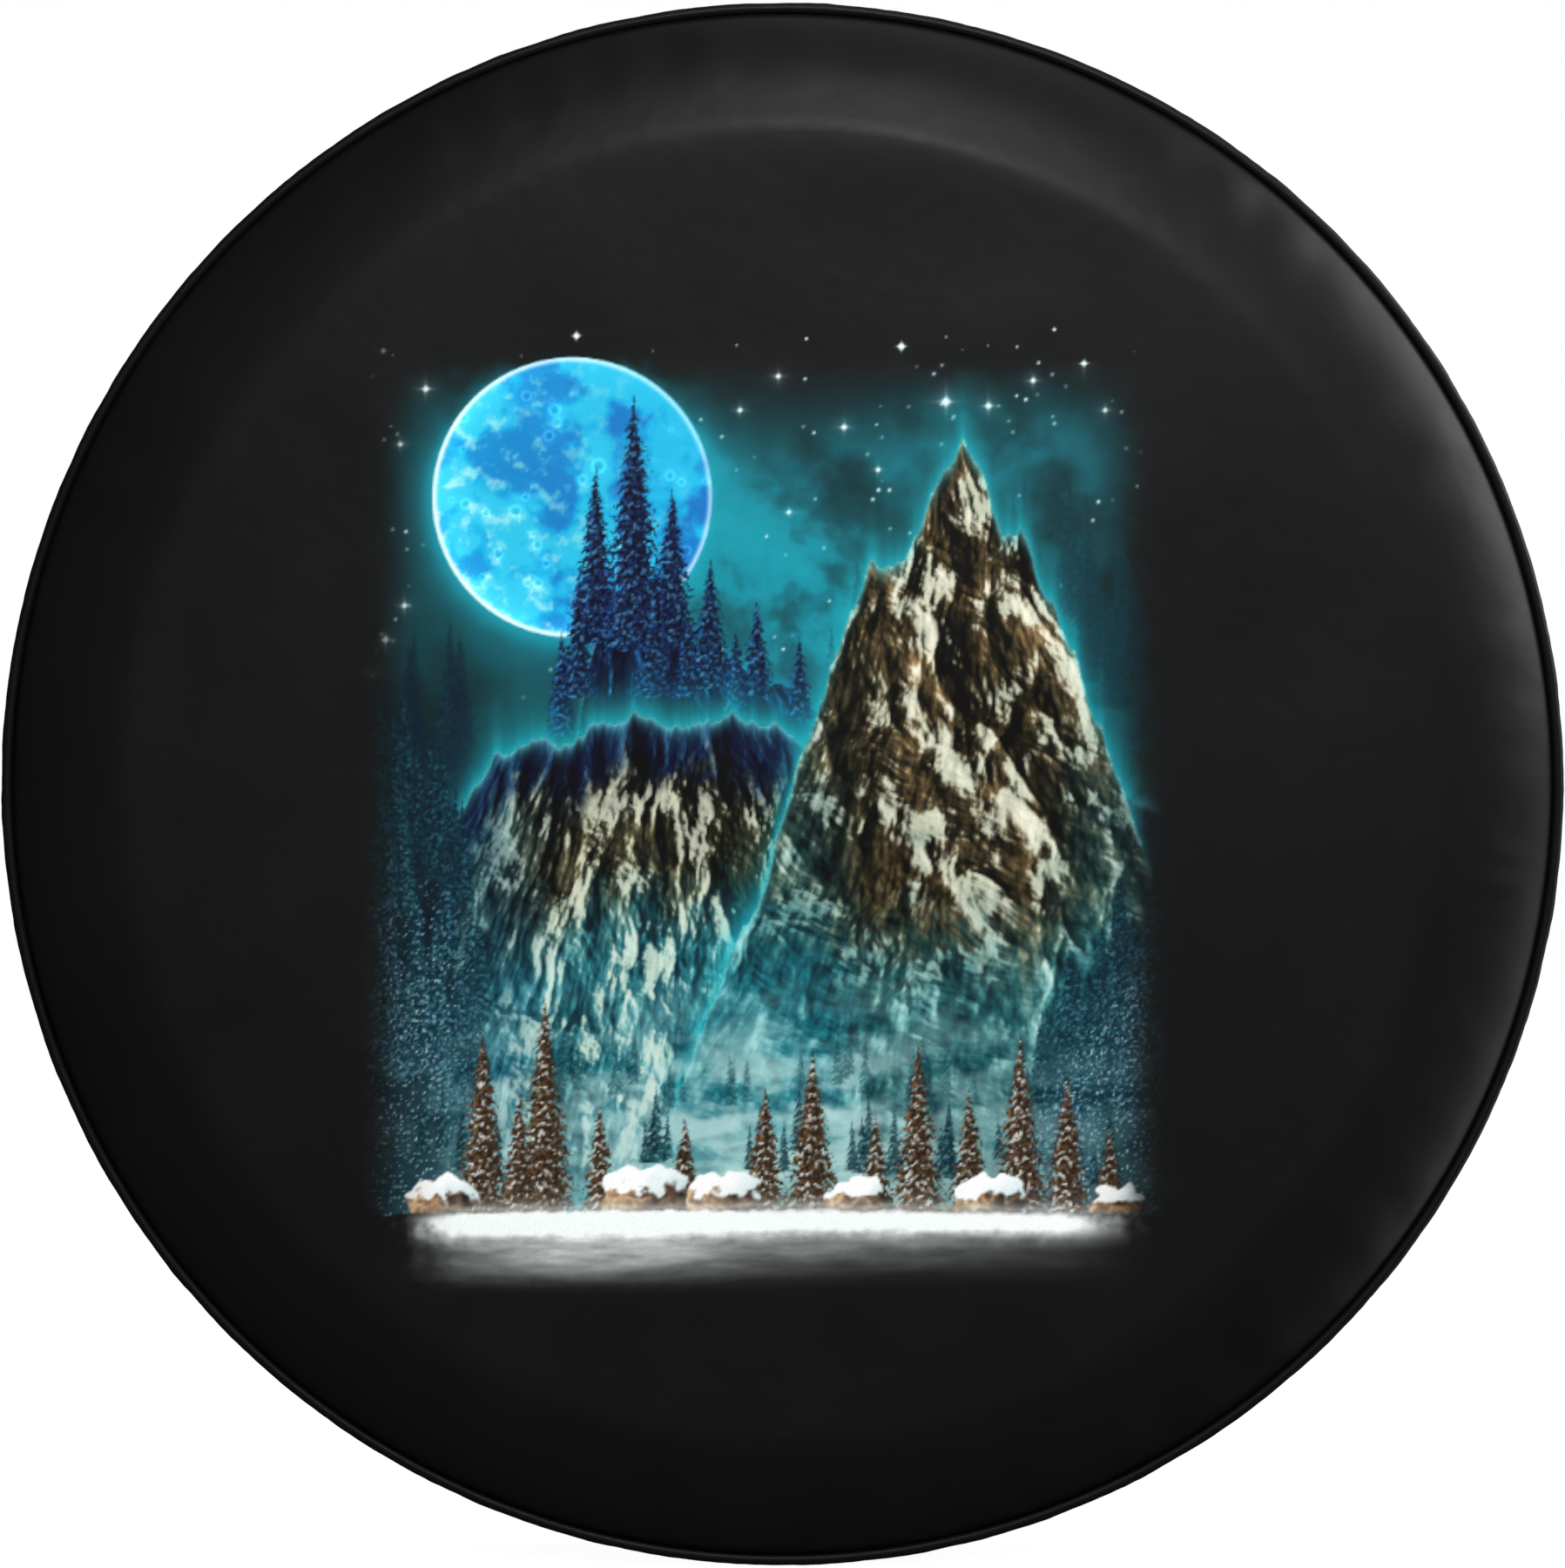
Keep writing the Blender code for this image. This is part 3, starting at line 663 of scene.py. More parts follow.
    # ---- trees
    def conifer(x0, foot, high, wide, seed, body, light, snow=0.0, snow_ink=(230, 240, 240), lit_side=-1, keep=1.0, ragged=1.0):
        """One fir: boughs in drooping tiers, lit on one side, with snow on the boughs."""
        top = foot + high
        k = wide * 0.62 + 3
        c0, c1 = int((x0 - k - ART_X0) / ART_STEP), int((x0 + k - ART_X0) / ART_STEP)
        r0, r1 = int((ART_Z1 - top - 2) / ART_STEP), int((ART_Z1 - foot) / ART_STEP)
        c0, r0, c1, r1 = max(c0, 0), max(r0, 0), min(c1, cols), min(r1, rows)
        if c1 - c0 < 2 or r1 - r0 < 2:
            return
        px, pz = x[r0:r1, c0:c1], z[r0:r1, c0:c1]
        t = np.clip((top - pz) / high, 0, None)  # 0 at the tip
        off = px - x0 + (field(pz / 9.0 + seed, pz * 0 + seed, 91)) * wide * 0.04
        q = np.abs(off) / (wide * 0.5)
        tiers = max(5.0, high / (2.6 + wide * 0.075))
        # boughs droop outwards, so a tier's edge comes lower further out
        phase = (t ** 0.86) * tiers - q * 1.15 + (field(off / 3.1 + seed * 3, pz / 5.0, 92)) * 0.9
        tier = phase - np.floor(phase)
        shape = np.clip(t, 0, 1) ** 0.82
        rough = field(off / 1.5 + seed, pz / 1.1, 93) * 0.30 + field(off / 0.75, pz / 0.6 + seed, 94) * 0.14
        edge = shape * (0.52 + 0.50 * tier) + rough * ragged * (0.25 + 0.75 * shape)
        mask = step(0.0, 0.10, edge - q) * step(0.0, 0.012, t) * keep
        trunk = step(0.9, 0.4, np.abs(off) / (0.35 + t * 0.8)) * step(0.0, 0.02, t) * 0.9
        mask = np.maximum(mask, trunk * keep)
        lit = np.clip(lit_side * off / (wide * 0.5 * np.maximum(shape, 0.1)), -1, 1)
        fleck = clouds(off + seed * 7, pz * 1.0, 2.3, 95, 3, 0.65)
        tone = np.clip(step(0.42, 0.66, fleck) * (0.35 + 0.65 * np.clip(lit, 0, 1)) + tier * 0.12 - 0.05, 0, 1)[..., None]
        colour = body * (1 - tone) + light * tone
        if snow > 0:
            cap = step(0.52, 0.12, tier) * step(0.38, 0.62, fleck + 0.12 * lit) * snow * (0.6 + 0.4 * lit * 0.5 + 0.2)
            cap = np.clip(cap, 0, 1)[..., None]
            colour = colour * (1 - cap) + ink(*snow_ink) * cap
        m = mask[..., None]
        part = pic[r0:r1, c0:c1]
        part[:] = part * (1 - m) + colour * m

    # dark firs far behind
    for _ in range(46):
        tx = rng.uniform(8, 182)
        high = rng.uniform(36, 74) * (1.0 if tx > 100 else 0.8)
        foot = np.interp(tx, [5, 40, 75, 110, 150, 182], [22, 48, 70, 84, 66, 20]) + rng.uniform(-30, 16)
        conifer(tx, foot, high, high * 0.34, rng.integers(1, 99), ink(3, 46, 56), ink(6, 76, 86), keep=0.78)
    for _ in range(20):
        tx = rng.uniform(-203, -150)
        conifer(tx, rng.uniform(-40, 10), rng.uniform(50, 90), rng.uniform(17, 28), rng.integers(1, 99), ink(4, 30, 42), ink(10, 62, 76), keep=0.7)

    # ---- mountains
    def skyline(points, seed, amount):
        line = np.interp(xs, [p[0] for p in points], [p[1] for p in points])
        zero = xs * 0
        n = crests(xs, zero + seed, 23.0, 30 + seed, 4, 0.6) - 0.4
        n2 = field(xs / 3.3, zero + seed, 40 + seed) * 0.16
        return (line + (n * 0.9 + n2) * amount)[None, :].astype(np.float32)

    def massif(line, centre, seed, summit, spread=0.0075):
        """Relief of one mountain under a skyline: (depth, lit, strokes, spur)."""
        depth = line - z
        down = np.clip(summit - z, 0, 400)
        fan = (x - centre) / (1.0 + down * spread) * 1.6
        bend = (clouds(x, z, 60.0, seed + 60, 3) - 0.5) * 22.0
        u, v = fan + bend * 0.6, down * 0.55 + bend * 0.8
        spur = crests(u, v * 0.62, 46.0, seed + 70, 3, 0.5)
        gully = crests(u * 1.0 + 9, v * 0.9, 17.0, seed + 75, 3, 0.5)
        crag = clouds(u * 1.0 + 9, v * 1.5, 5.5, seed + 80, 3, 0.6)
        h = spur * 15.0 + gully * 3.6 + crag * 2.0
        gz, gx = np.gradient(h, ART_STEP)
        lit = np.clip(0.44 + gx * 0.44 - gz * 0.20, 0, 1)
        strokes = clouds(fan + bend * 0.12, down * 0.16, 1.9, seed + 90, 3, 0.6)
        return depth, lit.astype(np.float32), strokes, spur

    def rim(depth, inside, outside, colour_in, colour_out, amount=1.0):
        over(np.exp(-np.clip(-depth, 0, None) / outside) * (depth < 0) * 0.80 * amount, colour_out)
        return np.exp(-np.clip(depth, 0, None) / inside) * (depth >= 0) * amount

    def cover(depth):
        return step(-0.4, 0.4, depth)

    # dark spur with firs before the moon
    line = skyline(((-206, -200), (-112, -60), (-98, 10), (-92, 52), (-86, 76), (-80, 96), (-70, 84), (-60, 92), (-50, 74), (-38, 60), (-18, 56),
                    (2, 44), (24, 28), (44, 6), (60, -30), (188, -300)), 3, 8.0)
    depth, lit, strokes, spur = massif(line, -60.0, 300, 100.0)
    body = step(74.0, 40.0, depth + grain * 18) * step(4.0, 22.0, z - np.interp(x, [-206, -60, 0, 60, 188], [24, 24, 18, 8, 0]) + grain * 10)
    tone = np.clip(lit * 0.8 + (strokes - 0.5) * 0.9, 0, 1)
    rock = blend(tone, (0.0, ink(3, 6, 20)), (0.5, ink(8, 24, 54)), (0.8, ink(26, 84, 140)), (1.0, ink(90, 160, 210)))
    edge = np.exp(-np.clip(depth, 0, None) / 2.0) * step(20, -70, x)
    rock = rock * (1 - edge[..., None] * 0.8) + ink(150, 220, 240) * edge[..., None] * 0.8
    over(np.exp(-np.clip(-depth, 0, None) / 5.0) * (depth < 0) * 0.5 * step(14, 30, z), ink(40, 180, 220))
    over(cover(depth) * body, rock)
    for x0, foot, high, wide, seed in (
        (-52, 62, 78, 30, 3), (-88, 66, 84, 30, 5), (-34, 44, 62, 26, 9), (-70, 62, 122, 42, 7), (-12, 40, 46, 20, 11), (-104, 22, 50, 19, 13),
        (8, 30, 40, 17, 15), (-96, 40, 58, 22, 16), (26, 16, 36, 15, 17), (-44, 40, 40, 20, 19), (-60, 40, 60, 24, 21), (-22, 36, 36, 18, 23),
    ):
        conifer(x0, foot, high, wide, seed, ink(4, 11, 32), ink(22, 92, 168), 0.55, (120, 196, 232), -1, 1.0, 1.1)

    # the long ridge at the left
    line = skyline(((-206, -140), (-180, -78), (-164, -40), (-150, -10), (-136, 12), (-118, 22), (-104, 15), (-86, 28), (-62, 34), (-44, 24),
                    (-22, 32), (-4, 26), (14, 20), (40, 10), (188, -10)), 2, 9.0)
    depth, lit, strokes, spur = massif(line, -40.0, 200, 60.0, 0.006)
    edge = rim(depth, 3.2, 11.0, ink(70, 214, 222), ink(10, 176, 190))
    tone = np.clip(lit * 0.78 + (strokes - 0.5) * 0.70 - 0.03, 0, 1)
    navy = blend(tone, (0.0, ink(4, 8, 22)), (0.5, ink(10, 28, 56)), (1.0, ink(52, 96, 130)))
    olive = blend(tone, (0.0, ink(10, 14, 13)), (0.33, ink(44, 42, 30)), (0.62, ink(104, 98, 68)), (1.0, ink(202, 196, 158)))
    ice = blend(tone, (0.0, ink(6, 40, 50)), (0.36, ink(36, 110, 120)), (0.68, ink(132, 196, 198)), (1.0, ink(212, 236, 230)))
    d = depth + grain * 22 + (spur - 0.4) * 16
    a = step(12.0, 40.0, d)[..., None]
    b = step(62.0, 118.0, d)[..., None]
    rock = (navy * (1 - a) + olive * a) * (1 - b) + ice * b
    snow = step(0.62, 0.84, lit * 0.74 + strokes * 0.42 + (clouds(x, z, 26.0, 231, 3) - 0.5) * 0.95) * step(14, 46, d)
    rock = rock * (1 - snow[..., None] * 0.72) + ink(214, 222, 202) * snow[..., None] * 0.72
    left = step(-96, -150, x)[..., None] * step(0, 40, depth)[..., None]
    rock = rock * (1 - left * 0.6) + blend(tone, (0.0, ink(4, 30, 48)), (0.6, ink(30, 96, 120)), (1.0, ink(140, 210, 224))) * left * 0.6
    rock = rock * (1 - edge[..., None] * 0.8) + ink(104, 224, 230) * edge[..., None] * 0.8
    over(cover(depth), rock)

    # the high peak at the right
    line = skyline(((-70, -215), (-30, -96), (-8, -44), (6, 2), (20, 40), (32, 84), (42, 104), (52, 98), (64, 118), (76, 146), (85, 157),
                    (94, 143), (103, 122), (112, 118), (122, 92), (134, 66), (148, 30), (162, -10), (176, -56), (190, -96)), 1, 13.0)
    depth, lit, strokes, spur = massif(line, 88.0, 100, 168.0, 0.011)
    edge = rim(depth, 3.2, 13.0, ink(70, 214, 222), ink(8, 168, 182))
    tone = np.clip(lit * 0.80 + (strokes - 0.5) * 0.62 + 0.0, 0, 1)
    rock = blend(tone, (0.0, ink(8, 12, 12)), (0.28, ink(34, 31, 22)), (0.52, ink(84, 70, 44)), (0.78, ink(150, 124, 86)), (1.0, ink(214, 188, 148)))
    warm = (blob(84, 92, 26, 40) * 0.55 + blob(92, -30, 34, 50) * 0.25) * step(0.45, 0.7, clouds(x, z, 16.0, 130, 3))
    rock = rock * (1 - warm[..., None] * 0.55) + rock * ink(255, 170, 96)[None, None] * 1.15 * warm[..., None] * 0.55
    snow = step(0.58, 0.80, lit * 0.72 + strokes * 0.40 + (clouds(x, z, 26.0, 131, 3) - 0.5) * 1.0 + blob(84, -30, 40, 60) * 0.10)
    white = blend(np.clip(tone * 0.9 + 0.15, 0, 1), (0.0, ink(96, 122, 118)), (0.5, ink(186, 194, 172)), (1.0, ink(244, 242, 224)))
    rock = rock * (1 - snow[..., None] * 0.88) + white * snow[..., None] * 0.88
    cold = step(-44.0, -112.0, z + grain * 30) * 0.74 + step(34, 76, np.abs(x - 80)) * 0.45 * step(70, -60, z)
    icy = blend(tone * 0.95, (0.0, ink(4, 36, 46)), (0.36, ink(22, 102, 114)), (0.68, ink(112, 186, 190)), (1.0, ink(206, 234, 226)))
    cold = np.clip(cold, 0, 1)[..., None]
    rock = rock * (1 - cold) + icy * cold
    rock = rock * (1 - edge[..., None] * 0.75) + ink(110, 226, 232) * edge[..., None] * 0.75
    over(cover(depth), rock)

    # ---- woods at the sides, and on the low slopes
    def wood(count, x_range, foot_at, high_range, slim, body, light, snow, snow_ink, seed, keep=1.0):
        r = np.random.default_rng(seed)
        trees = []
        for _ in range(count):
            tx = r.uniform(*x_range)
            trees.append((foot_at(tx) + r.uniform(-7, 7), tx, r.uniform(*high_range), int(r.integers(1, 99)), r.uniform(0.85, 1.2)))
        for foot, tx, high, s, fat in sorted(trees, reverse=True):
            conifer(tx, foot, high, high * slim * fat, s, body, light, snow, snow_ink, -1 if tx > 0 else 1, keep)

    tops = z - np.interp(x, [112, 150, 186], [-140, -84, -36]) + grain * 10
    stand = step(8, -24, tops) * step(106, 124, x)
    shade = np.clip(stand + step(-140, -166, x + grain * 12) * step(-10, -40, z), 0, 1)
    over(shade * 0.9, ink(4, 30, 40))
    for i, (lift, seed) in enumerate(((0, 1), (-38, 2), (-78, 3), (-112, 4))):
        k = i / 3.0
        body, light = ink(4 + 6 * k, 30 + 10 * k, 42 + 12 * k), ink(20 + 22 * k, 84 + 30 * k, 98 + 32 * k)
        wood(16, (118, 186), lambda t: np.interp(t, [118, 150, 186], [-172, -122, -76]) + lift * 0.42, (44, 66), 0.33, body, light, 0.55 + 0.25 * k, (90 + 60 * k, 170 + 30 * k, 184 + 30 * k), 400 + seed, 0.92)
        wood(15, (-206, -140), lambda t: np.interp(t, [-206, -168, -140], [-10, -30, -72]) + lift, (42, 62), 0.33, body, light, 0.5 + 0.25 * k, (84 + 60 * k, 160 + 30 * k, 178 + 30 * k), 410 + seed, 0.92)
    speck = clouds(x, z, 1.7, 44, 2, 0.7)
    flakes = step(0.68, 0.78, speck) * step(-10, -90, z) * (step(-6, -40, tops) * step(106, 130, x) + step(-130, -168, x))
    over(flakes * 0.8, ink(172, 218, 226))

    # mist over the valley
    wisps = clouds(x, z * 2.6, 40.0, 46, 4, 0.55)
    mist = step(-66, -150, z) * blob(-6, -172, 124, 88) * step(0.24, 0.66, wisps)
    over(mist * 0.92, ink(176, 208, 206))

    wood(30, (-128, 122), lambda t: -150 + 6 * sin(t * 0.05), (15, 27), 0.36, ink(10, 52, 62), ink(48, 122, 130), 0.6, (170, 214, 214), 420, 0.55)
    over(step(-138, -178, z) * blob(-4, -184, 150, 40) * 0.45, ink(158, 196, 196))
    wood(30, (-182, 166), lambda t: -181 + 4 * sin(t * 0.07), (20, 34), 0.36, ink(6, 34, 42), ink(34, 96, 106), 0.7, (178, 218, 220), 430, 0.8)

    # ---- young firs and snow-capped boulders on the shore
    def boulder(x0, z0, a, b, seed):
        u, v = (x - x0 + field(x / 9 + seed, z / 9, 50) * 7.0) / a, (z - z0 + field(x / 7, z / 7 + seed, 51) * 5.0) / b
        d = 1.0 - (np.abs(u) ** 2.4 + np.abs(v) ** 2.4) ** (1 / 2.4)
        m = step(-0.015, 0.03, d) * step(-203.0, -201.4, z)
        crack = crests(x + seed * 9, z * 1.2, 9.0, 52, 4)
        tone = np.clip(0.52 - u * 0.38 + (crack - 0.45) * 0.75, 0, 1)
        stone = blend(tone, (0.0, ink(20, 16, 14)), (0.4, ink(74, 52, 36)), (0.75, ink(150, 112, 76)), (1.0, ink(206, 172, 132)))
        cap = step(0.06, 0.30, v + (clouds(x, z, 6.0, 53, 3) - 0.5) * 0.8 - u * 0.05)
        snowy = blend(np.clip(0.75 - u * 0.35 + v * 0.3, 0, 1), (0.0, ink(120, 150, 158)), (0.6, ink(206, 222, 224)), (1.0, ink(250, 252, 250)))
        over(m, stone * (1 - cap[..., None]) + snowy * cap[..., None])

    bark, needle = ink(40, 30, 22), ink(142, 104, 66)
    for x0, foot, high, wide, seed in (
        (-141, -203, 88, 31, 2), (-112, -204, 104, 36, 6), (-124, -203, 58, 24, 14), (-86, -203, 52, 22, 4), (-46, -203, 46, 21, 31),
        (-8, -204, 62, 27, 8), (14, -203, 78, 31, 12), (44, -203, 48, 22, 33), (64, -203, 82, 31, 10), (88, -203, 60, 26, 15), (112, -204, 86, 33, 18),
        (134, -203, 66, 28, 22), (154, -203, 42, 20, 35),
    ):
        conifer(x0, foot, high, wide, seed, bark, needle, 1.0, (226, 234, 230), -1, 1.0)
    for args in ((-160, -196, 15, 11, 1), (-66, -194, 21, 14, 2), (-28, -195, 18, 12, 3), (36, -196, 15, 10, 4), (98, -196, 17, 12, 5), (158, -198, 13, 9, 6)):
        boulder(*args)

    # ---- lit shore and ice
    shore = z + 200.0 + ((x + 10) / 110.0) ** 2 * 1.1 + grain * 3.0
    ground = step(1.0, -1.0, shore)
    across = step(-184, -150, x + grain * 16) * step(176, 128, x + grain * 16)
    streak = clouds(x, z * 7.0, 34.0, 54, 5, 0.6)
    light = np.exp(-((shore + 5.0) / 6.5) ** 2) * 1.1
    light = light + (blob(-96, -219, 74, 17) * 0.72 + blob(30, -216, 96, 11) * 0.36) * (0.45 + streak * 0.75)
    light = light + step(-246, -214, z) * 0.08 * streak
    light = light * across * step(-247, -226, z)
    snowfield = dark * (1 - np.clip(light, 0, 1)[..., None]) + ink(238, 244, 243) * np.clip(light, 0, 1)[..., None]
    over(ground, snowfield)
    over(np.exp(-np.abs(shore - 1.5) / 3.0) * (shore > 0) * across * 0.55, ink(224, 236, 236))
    # ---- the block's soft edges
    soft = grain * 7.0
    ink_amount = step(-205, -176, x + soft) * step(187, 158, x + soft) * step(-248, -230, z + soft * 0.6)
    vignette = step(-206, -150, x) * step(188, 132, x)
    pic = pic * (0.62 + 0.38 * vignette)[..., None] + dark * (0.38 - 0.38 * vignette)[..., None]
    starry = step(208, 190, z + soft)
    ink_amount = ink_amount * np.maximum(starry, np.clip((pic.max(-1) - 0.16) * 3.0, 0, 1))
    ink_amount = ink_amount * step(219.5, 217.5, z)
    pic = pic * ink_amount[..., None] + dark * (1 - ink_amount[..., None])
    return np.clip(pic, 0, 1), ink_amount


def exp2(v):
    return float(np.exp(v))


# ---------------------------------------------------------------- nodes
def separate(tree, socket):
    n = tree.nodes.new("ShaderNodeSeparateXYZ")
    n.hide = True
    tree.links.new(socket, n.inputs[0])
    return n.outputs


# ---------------------------------------------------------------- materials
def new_material(name, roughness, metallic=0.0, specular=0.5):
    mat = bpy.data.materials.new(name)
    mat.use_nodes = True
    tree = mat.node_tree
    bsdf = tree.nodes["Principled BSDF"]
    bsdf.inputs["Roughness"].default_value = roughness
    bsdf.inputs["Metallic"].default_value = metallic
    bsdf.inputs["Specular IOR Level"].default_value = specular
    return mat, tree, bsdf


def place(tree):
    """Object coordinates in mm: (socket, x, y, z)."""
    tc = tree.nodes.new("ShaderNodeTexCoord")
    scale = tree.nodes.new("ShaderNodeVectorMath")
    scale.operation = "SCALE"
    tree.links.new(tc.outputs["Object"], scale.inputs[0])
    scale.inputs["Scale"].default_value = 1000.0
    parts = separate(tree, scale.outputs[0])
    return scale.outputs[0], *(Sig(tree, s) for s in parts)


def bump(tree, height, strength, distance, bsdf, after=None):
    n = tree.nodes.new("ShaderNodeBump")
    n.inputs["Strength"].default_value = strength
    n.inputs["Distance"].default_value = distance * MM
    tree.links.new(height.socket, n.inputs["Height"])
    if after is not None:
        tree.links.new(after, n.inputs["Normal"])
    tree.links.new(n.outputs[0], bsdf.inputs["Normal"])
    return n.outputs[0]


def leather_grain(tree, where):
    """Height of an embossed grain with cells about 1.3 mm across, 0 to 1."""
    pebble = cells(tree, where, 1 / 1.25, "DISTANCE_TO_EDGE", "3D")
    small = cells(tree, where, 1 / 0.7, "F1", "3D")
    valley = Sig(tree, pebble.outputs["Distance"]).ramp(0.0, 0.16)
    return valley * 0.8 + Sig(tree, small.outputs["Distance"]).clamp() * 0.25


def vinyl(name, tone, roughness, printed=False, grain=0.0):
    mat, tree, bsdf = new_material(name, roughness)
    where, x, y, z = place(tree)
    blotch = noise_sig(tree, where, 0.012, 4, 0.55, "3D")
    scuff = noise_sig(tree, where, 0.11, 5, 0.65, "3D")
    base = mixed(tree, blotch.ramp(0.3, 0.7), tuple(c * 0.86 for c in tone), tuple(c * 1.16 for c in tone))
    height = leather_grain(tree, where)
    # the valleys of the grain hold less light
    colour = mixed(tree, height.ramp(0.75, 0.1) * 0.35, base, tuple(c * 0.55 for c in tone))
    rough = roughness + (scuff - 0.5) * 0.10 + (blotch - 0.5) * 0.05 + (height - 0.6) * -0.08
    if printed:
        paint = tree.nodes.new("ShaderNodeAttribute")
        paint.attribute_name = "print"
        ink = Sig(tree, paint.outputs["Alpha"])
        # the weave of dots that the ink is laid in, and wear on the grain's tops
        dots = noise_sig(tree, where, 1.9, 2, 0.6, "3D")
        worn = (1.0 - (height.ramp(0.8, 1.0) * 0.10)) * (0.94 + (dots - 0.5) * 0.22)
        tint = mixed(tree, worn, (0.0, 0.0, 0.0), paint.outputs["Color"])
        colour = mixed(tree, ink, colour, tint)
        rough = rough + ink * 0.03
    tree.links.new(colour, bsdf.inputs["Base Color"])
    tree.links.new(rough.socket, bsdf.inputs["Roughness"])
    # soft unevenness of the coated cloth, and the embossed grain on it
    uneven = noise_sig(tree, where, 0.09, 1, 0.5, "3D")
    first = bump(tree, uneven, 0.35, 0.55, bsdf)
    if grain > 0:
        bump(tree, height, grain, 0.16, bsdf, first)
    return mat


def backing(name):
    """Brushed polyester on the inside of the vinyl."""
    mat, tree, bsdf = new_material(name, 0.92, specular=0.2)
    where, x, y, z = place(tree)
    fuzz = noise_sig(tree, where, 1.7, 4, 0.7, "3D")
    knit = ((x * 2.6 + y * 1.2).sin() * (z * 2.6 + y * 1.2).sin()) * 0.5 + 0.5
    blotch = noise_sig(tree, where, 0.03, 3, 0.5, "3D")
    # partly painted shade: lighter where the knit's loops stand up and darker between them; the fuzz and blotches are
    # random tone
    shade = (fuzz * 0.5 + knit * 0.3 + blotch * 0.3).clamp()
    tree.links.new(mixed(tree, shade, (0.013, 0.013, 0.014), (0.046, 0.046, 0.048)), bsdf.inputs["Base Color"])
    bump(tree, fuzz * 0.6 + knit * 0.5, 0.6, 0.35, bsdf)
    return mat


def tape(name):
    """Woven binding tape: fine ribs across a plain weave."""
    mat, tree, bsdf = new_material(name, 0.8, specular=0.3)
    where, x, y, z = place(tree)
    turn = (x * x + z * z).sqrt()
    angle = x.op("ARCTAN2", z)
    rib = (turn * 4.6).sin() * 0.5 + 0.5
    pick = (angle * 1250.0).sin() * 0.5 + 0.5
    fuzz = noise_sig(tree, where, 1.3, 4, 0.7, "3D")
    height = (rib * 0.6 + pick * 0.4) * 0.8 + fuzz * 0.3
    # painted shade: the colour is darker in the troughs of the ribs and the weave and lighter on their tops; the fuzz
    # adds random tone
    tree.links.new(mixed(tree, height.clamp(), (0.005, 0.005, 0.0055), (0.022, 0.022, 0.023)), bsdf.inputs["Base Color"])
    bump(tree, height, 0.7, 0.3, bsdf)
    return mat


def braid(name, dark=(0.006, 0.006, 0.0065), light=(0.03, 0.03, 0.032)):
    """Braided cord: two families of strands that cross along the cord's length."""
    mat, tree, bsdf = new_material(name, 0.7, specular=0.35)
    uvn = tree.nodes.new("ShaderNodeUVMap")
    uvn.uv_map = "along"
    parts = separate(tree, uvn.outputs[0])
    u, v = Sig(tree, parts[0]) * 6.0, Sig(tree, parts[1]) * 0.62
    a, b = (u + v).fract() - 0.5, (u - v).fract() - 0.5
    one, two = 1.0 - a.abs() * 2.0, 1.0 - b.abs() * 2.0
    height = one.max(two).pow(0.7)
    where, x, y, z = place(tree)
    fibre = noise_sig(tree, where, 2.6, 3, 0.7, "3D")
    # painted shade: the colour is darker in the gaps between the strands and lighter on their crests; the fibre noise
    # adds random tone
    tree.links.new(mixed(tree, (height * 0.8 + fibre * 0.3).clamp(), dark, light), bsdf.inputs["Base Color"])
    bump(tree, height + fibre * 0.3, 0.9, 0.35, bsdf)
    return mat


def thread(name):
    mat, tree, bsdf = new_material(name, 0.55, specular=0.4)
    where, x, y, z = place(tree)
    twist = noise_sig(tree, where, 3.1, 3, 0.7, "3D")
    tree.links.new(mixed(tree, twist, (0.012, 0.012, 0.013), (0.035, 0.035, 0.037)), bsdf.inputs["Base Color"])
    bump(tree, twist, 0.5, 0.15, bsdf)
    return mat


def plastic(name):
    mat, tree, bsdf = new_material(name, 0.4)
    where, x, y, z = place(tree)
    spark = noise_sig(tree, where, 2.4, 4, 0.7, "3D")
    wear = noise_sig(tree, where, 0.25, 4, 0.6, "3D")
    tree.links.new(mixed(tree, wear, (0.011, 0.011, 0.012), (0.02, 0.02, 0.0215)), bsdf.inputs["Base Color"])
    rough = 0.36 + (wear - 0.4) * 0.2
    tree.links.new(rough.socket, bsdf.inputs["Roughness"])
    bump(tree, spark, 0.25, 0.12, bsdf)
    return mat


def brass(name):
    mat, tree, bsdf = new_material(name, 0.28, 1.0)
    where, x, y, z = place(tree)
    tarnish = noise_sig(tree, where, 0.35, 5, 0.65, "3D")
    lines = noise_sig(tree, where, 2.2, 3, 0.7, "3D")
    tree.links.new(mixed(tree, tarnish.ramp(0.35, 0.7), (0.78, 0.56, 0.26), (0.46, 0.30, 0.13)), bsdf.inputs["Base Color"])
    rough = 0.2 + tarnish.ramp(0.3, 0.75) * 0.25
    tree.links.new(rough.socket, bsdf.inputs["Roughness"])
    bump(tree, lines, 0.12, 0.1, bsdf)
    return mat


def steel(name):
    mat, tree, bsdf = new_material(name, 0.3, 1.0)
    where, x, y, z = place(tree)
    drawn = noise_sig(tree, where, 1.5, 3, 0.6, "3D")
    tree.links.new(mixed(tree, drawn, (0.42, 0.43, 0.44), (0.62, 0.63, 0.64)), bsdf.inputs["Base Color"])
    bump(tree, drawn, 0.15, 0.05, bsdf)
    return mat


MAT = {
    "face": vinyl("printed_vinyl", (0.0042, 0.0042, 0.0043), 0.45, printed=True),
    "band": vinyl("band_vinyl", (0.0042, 0.0042, 0.0043), 0.5, grain=0.12),
    "welt": vinyl("welt_vinyl", (0.0034, 0.0034, 0.0035), 0.48),
    "back": backing("brushed_backing"),
    "tape": tape("woven_tape"),
    "cord": braid("braided_cord"),
    "core": braid("welt_core_cord", (0.4, 0.39, 0.36), (0.62, 0.6, 0.56)),
    "thread": thread("seam_thread"),
    "plastic": plastic("lock_plastic"),
    "brass": brass("eyelet_brass"),
    "steel": steel("spring_steel"),
}

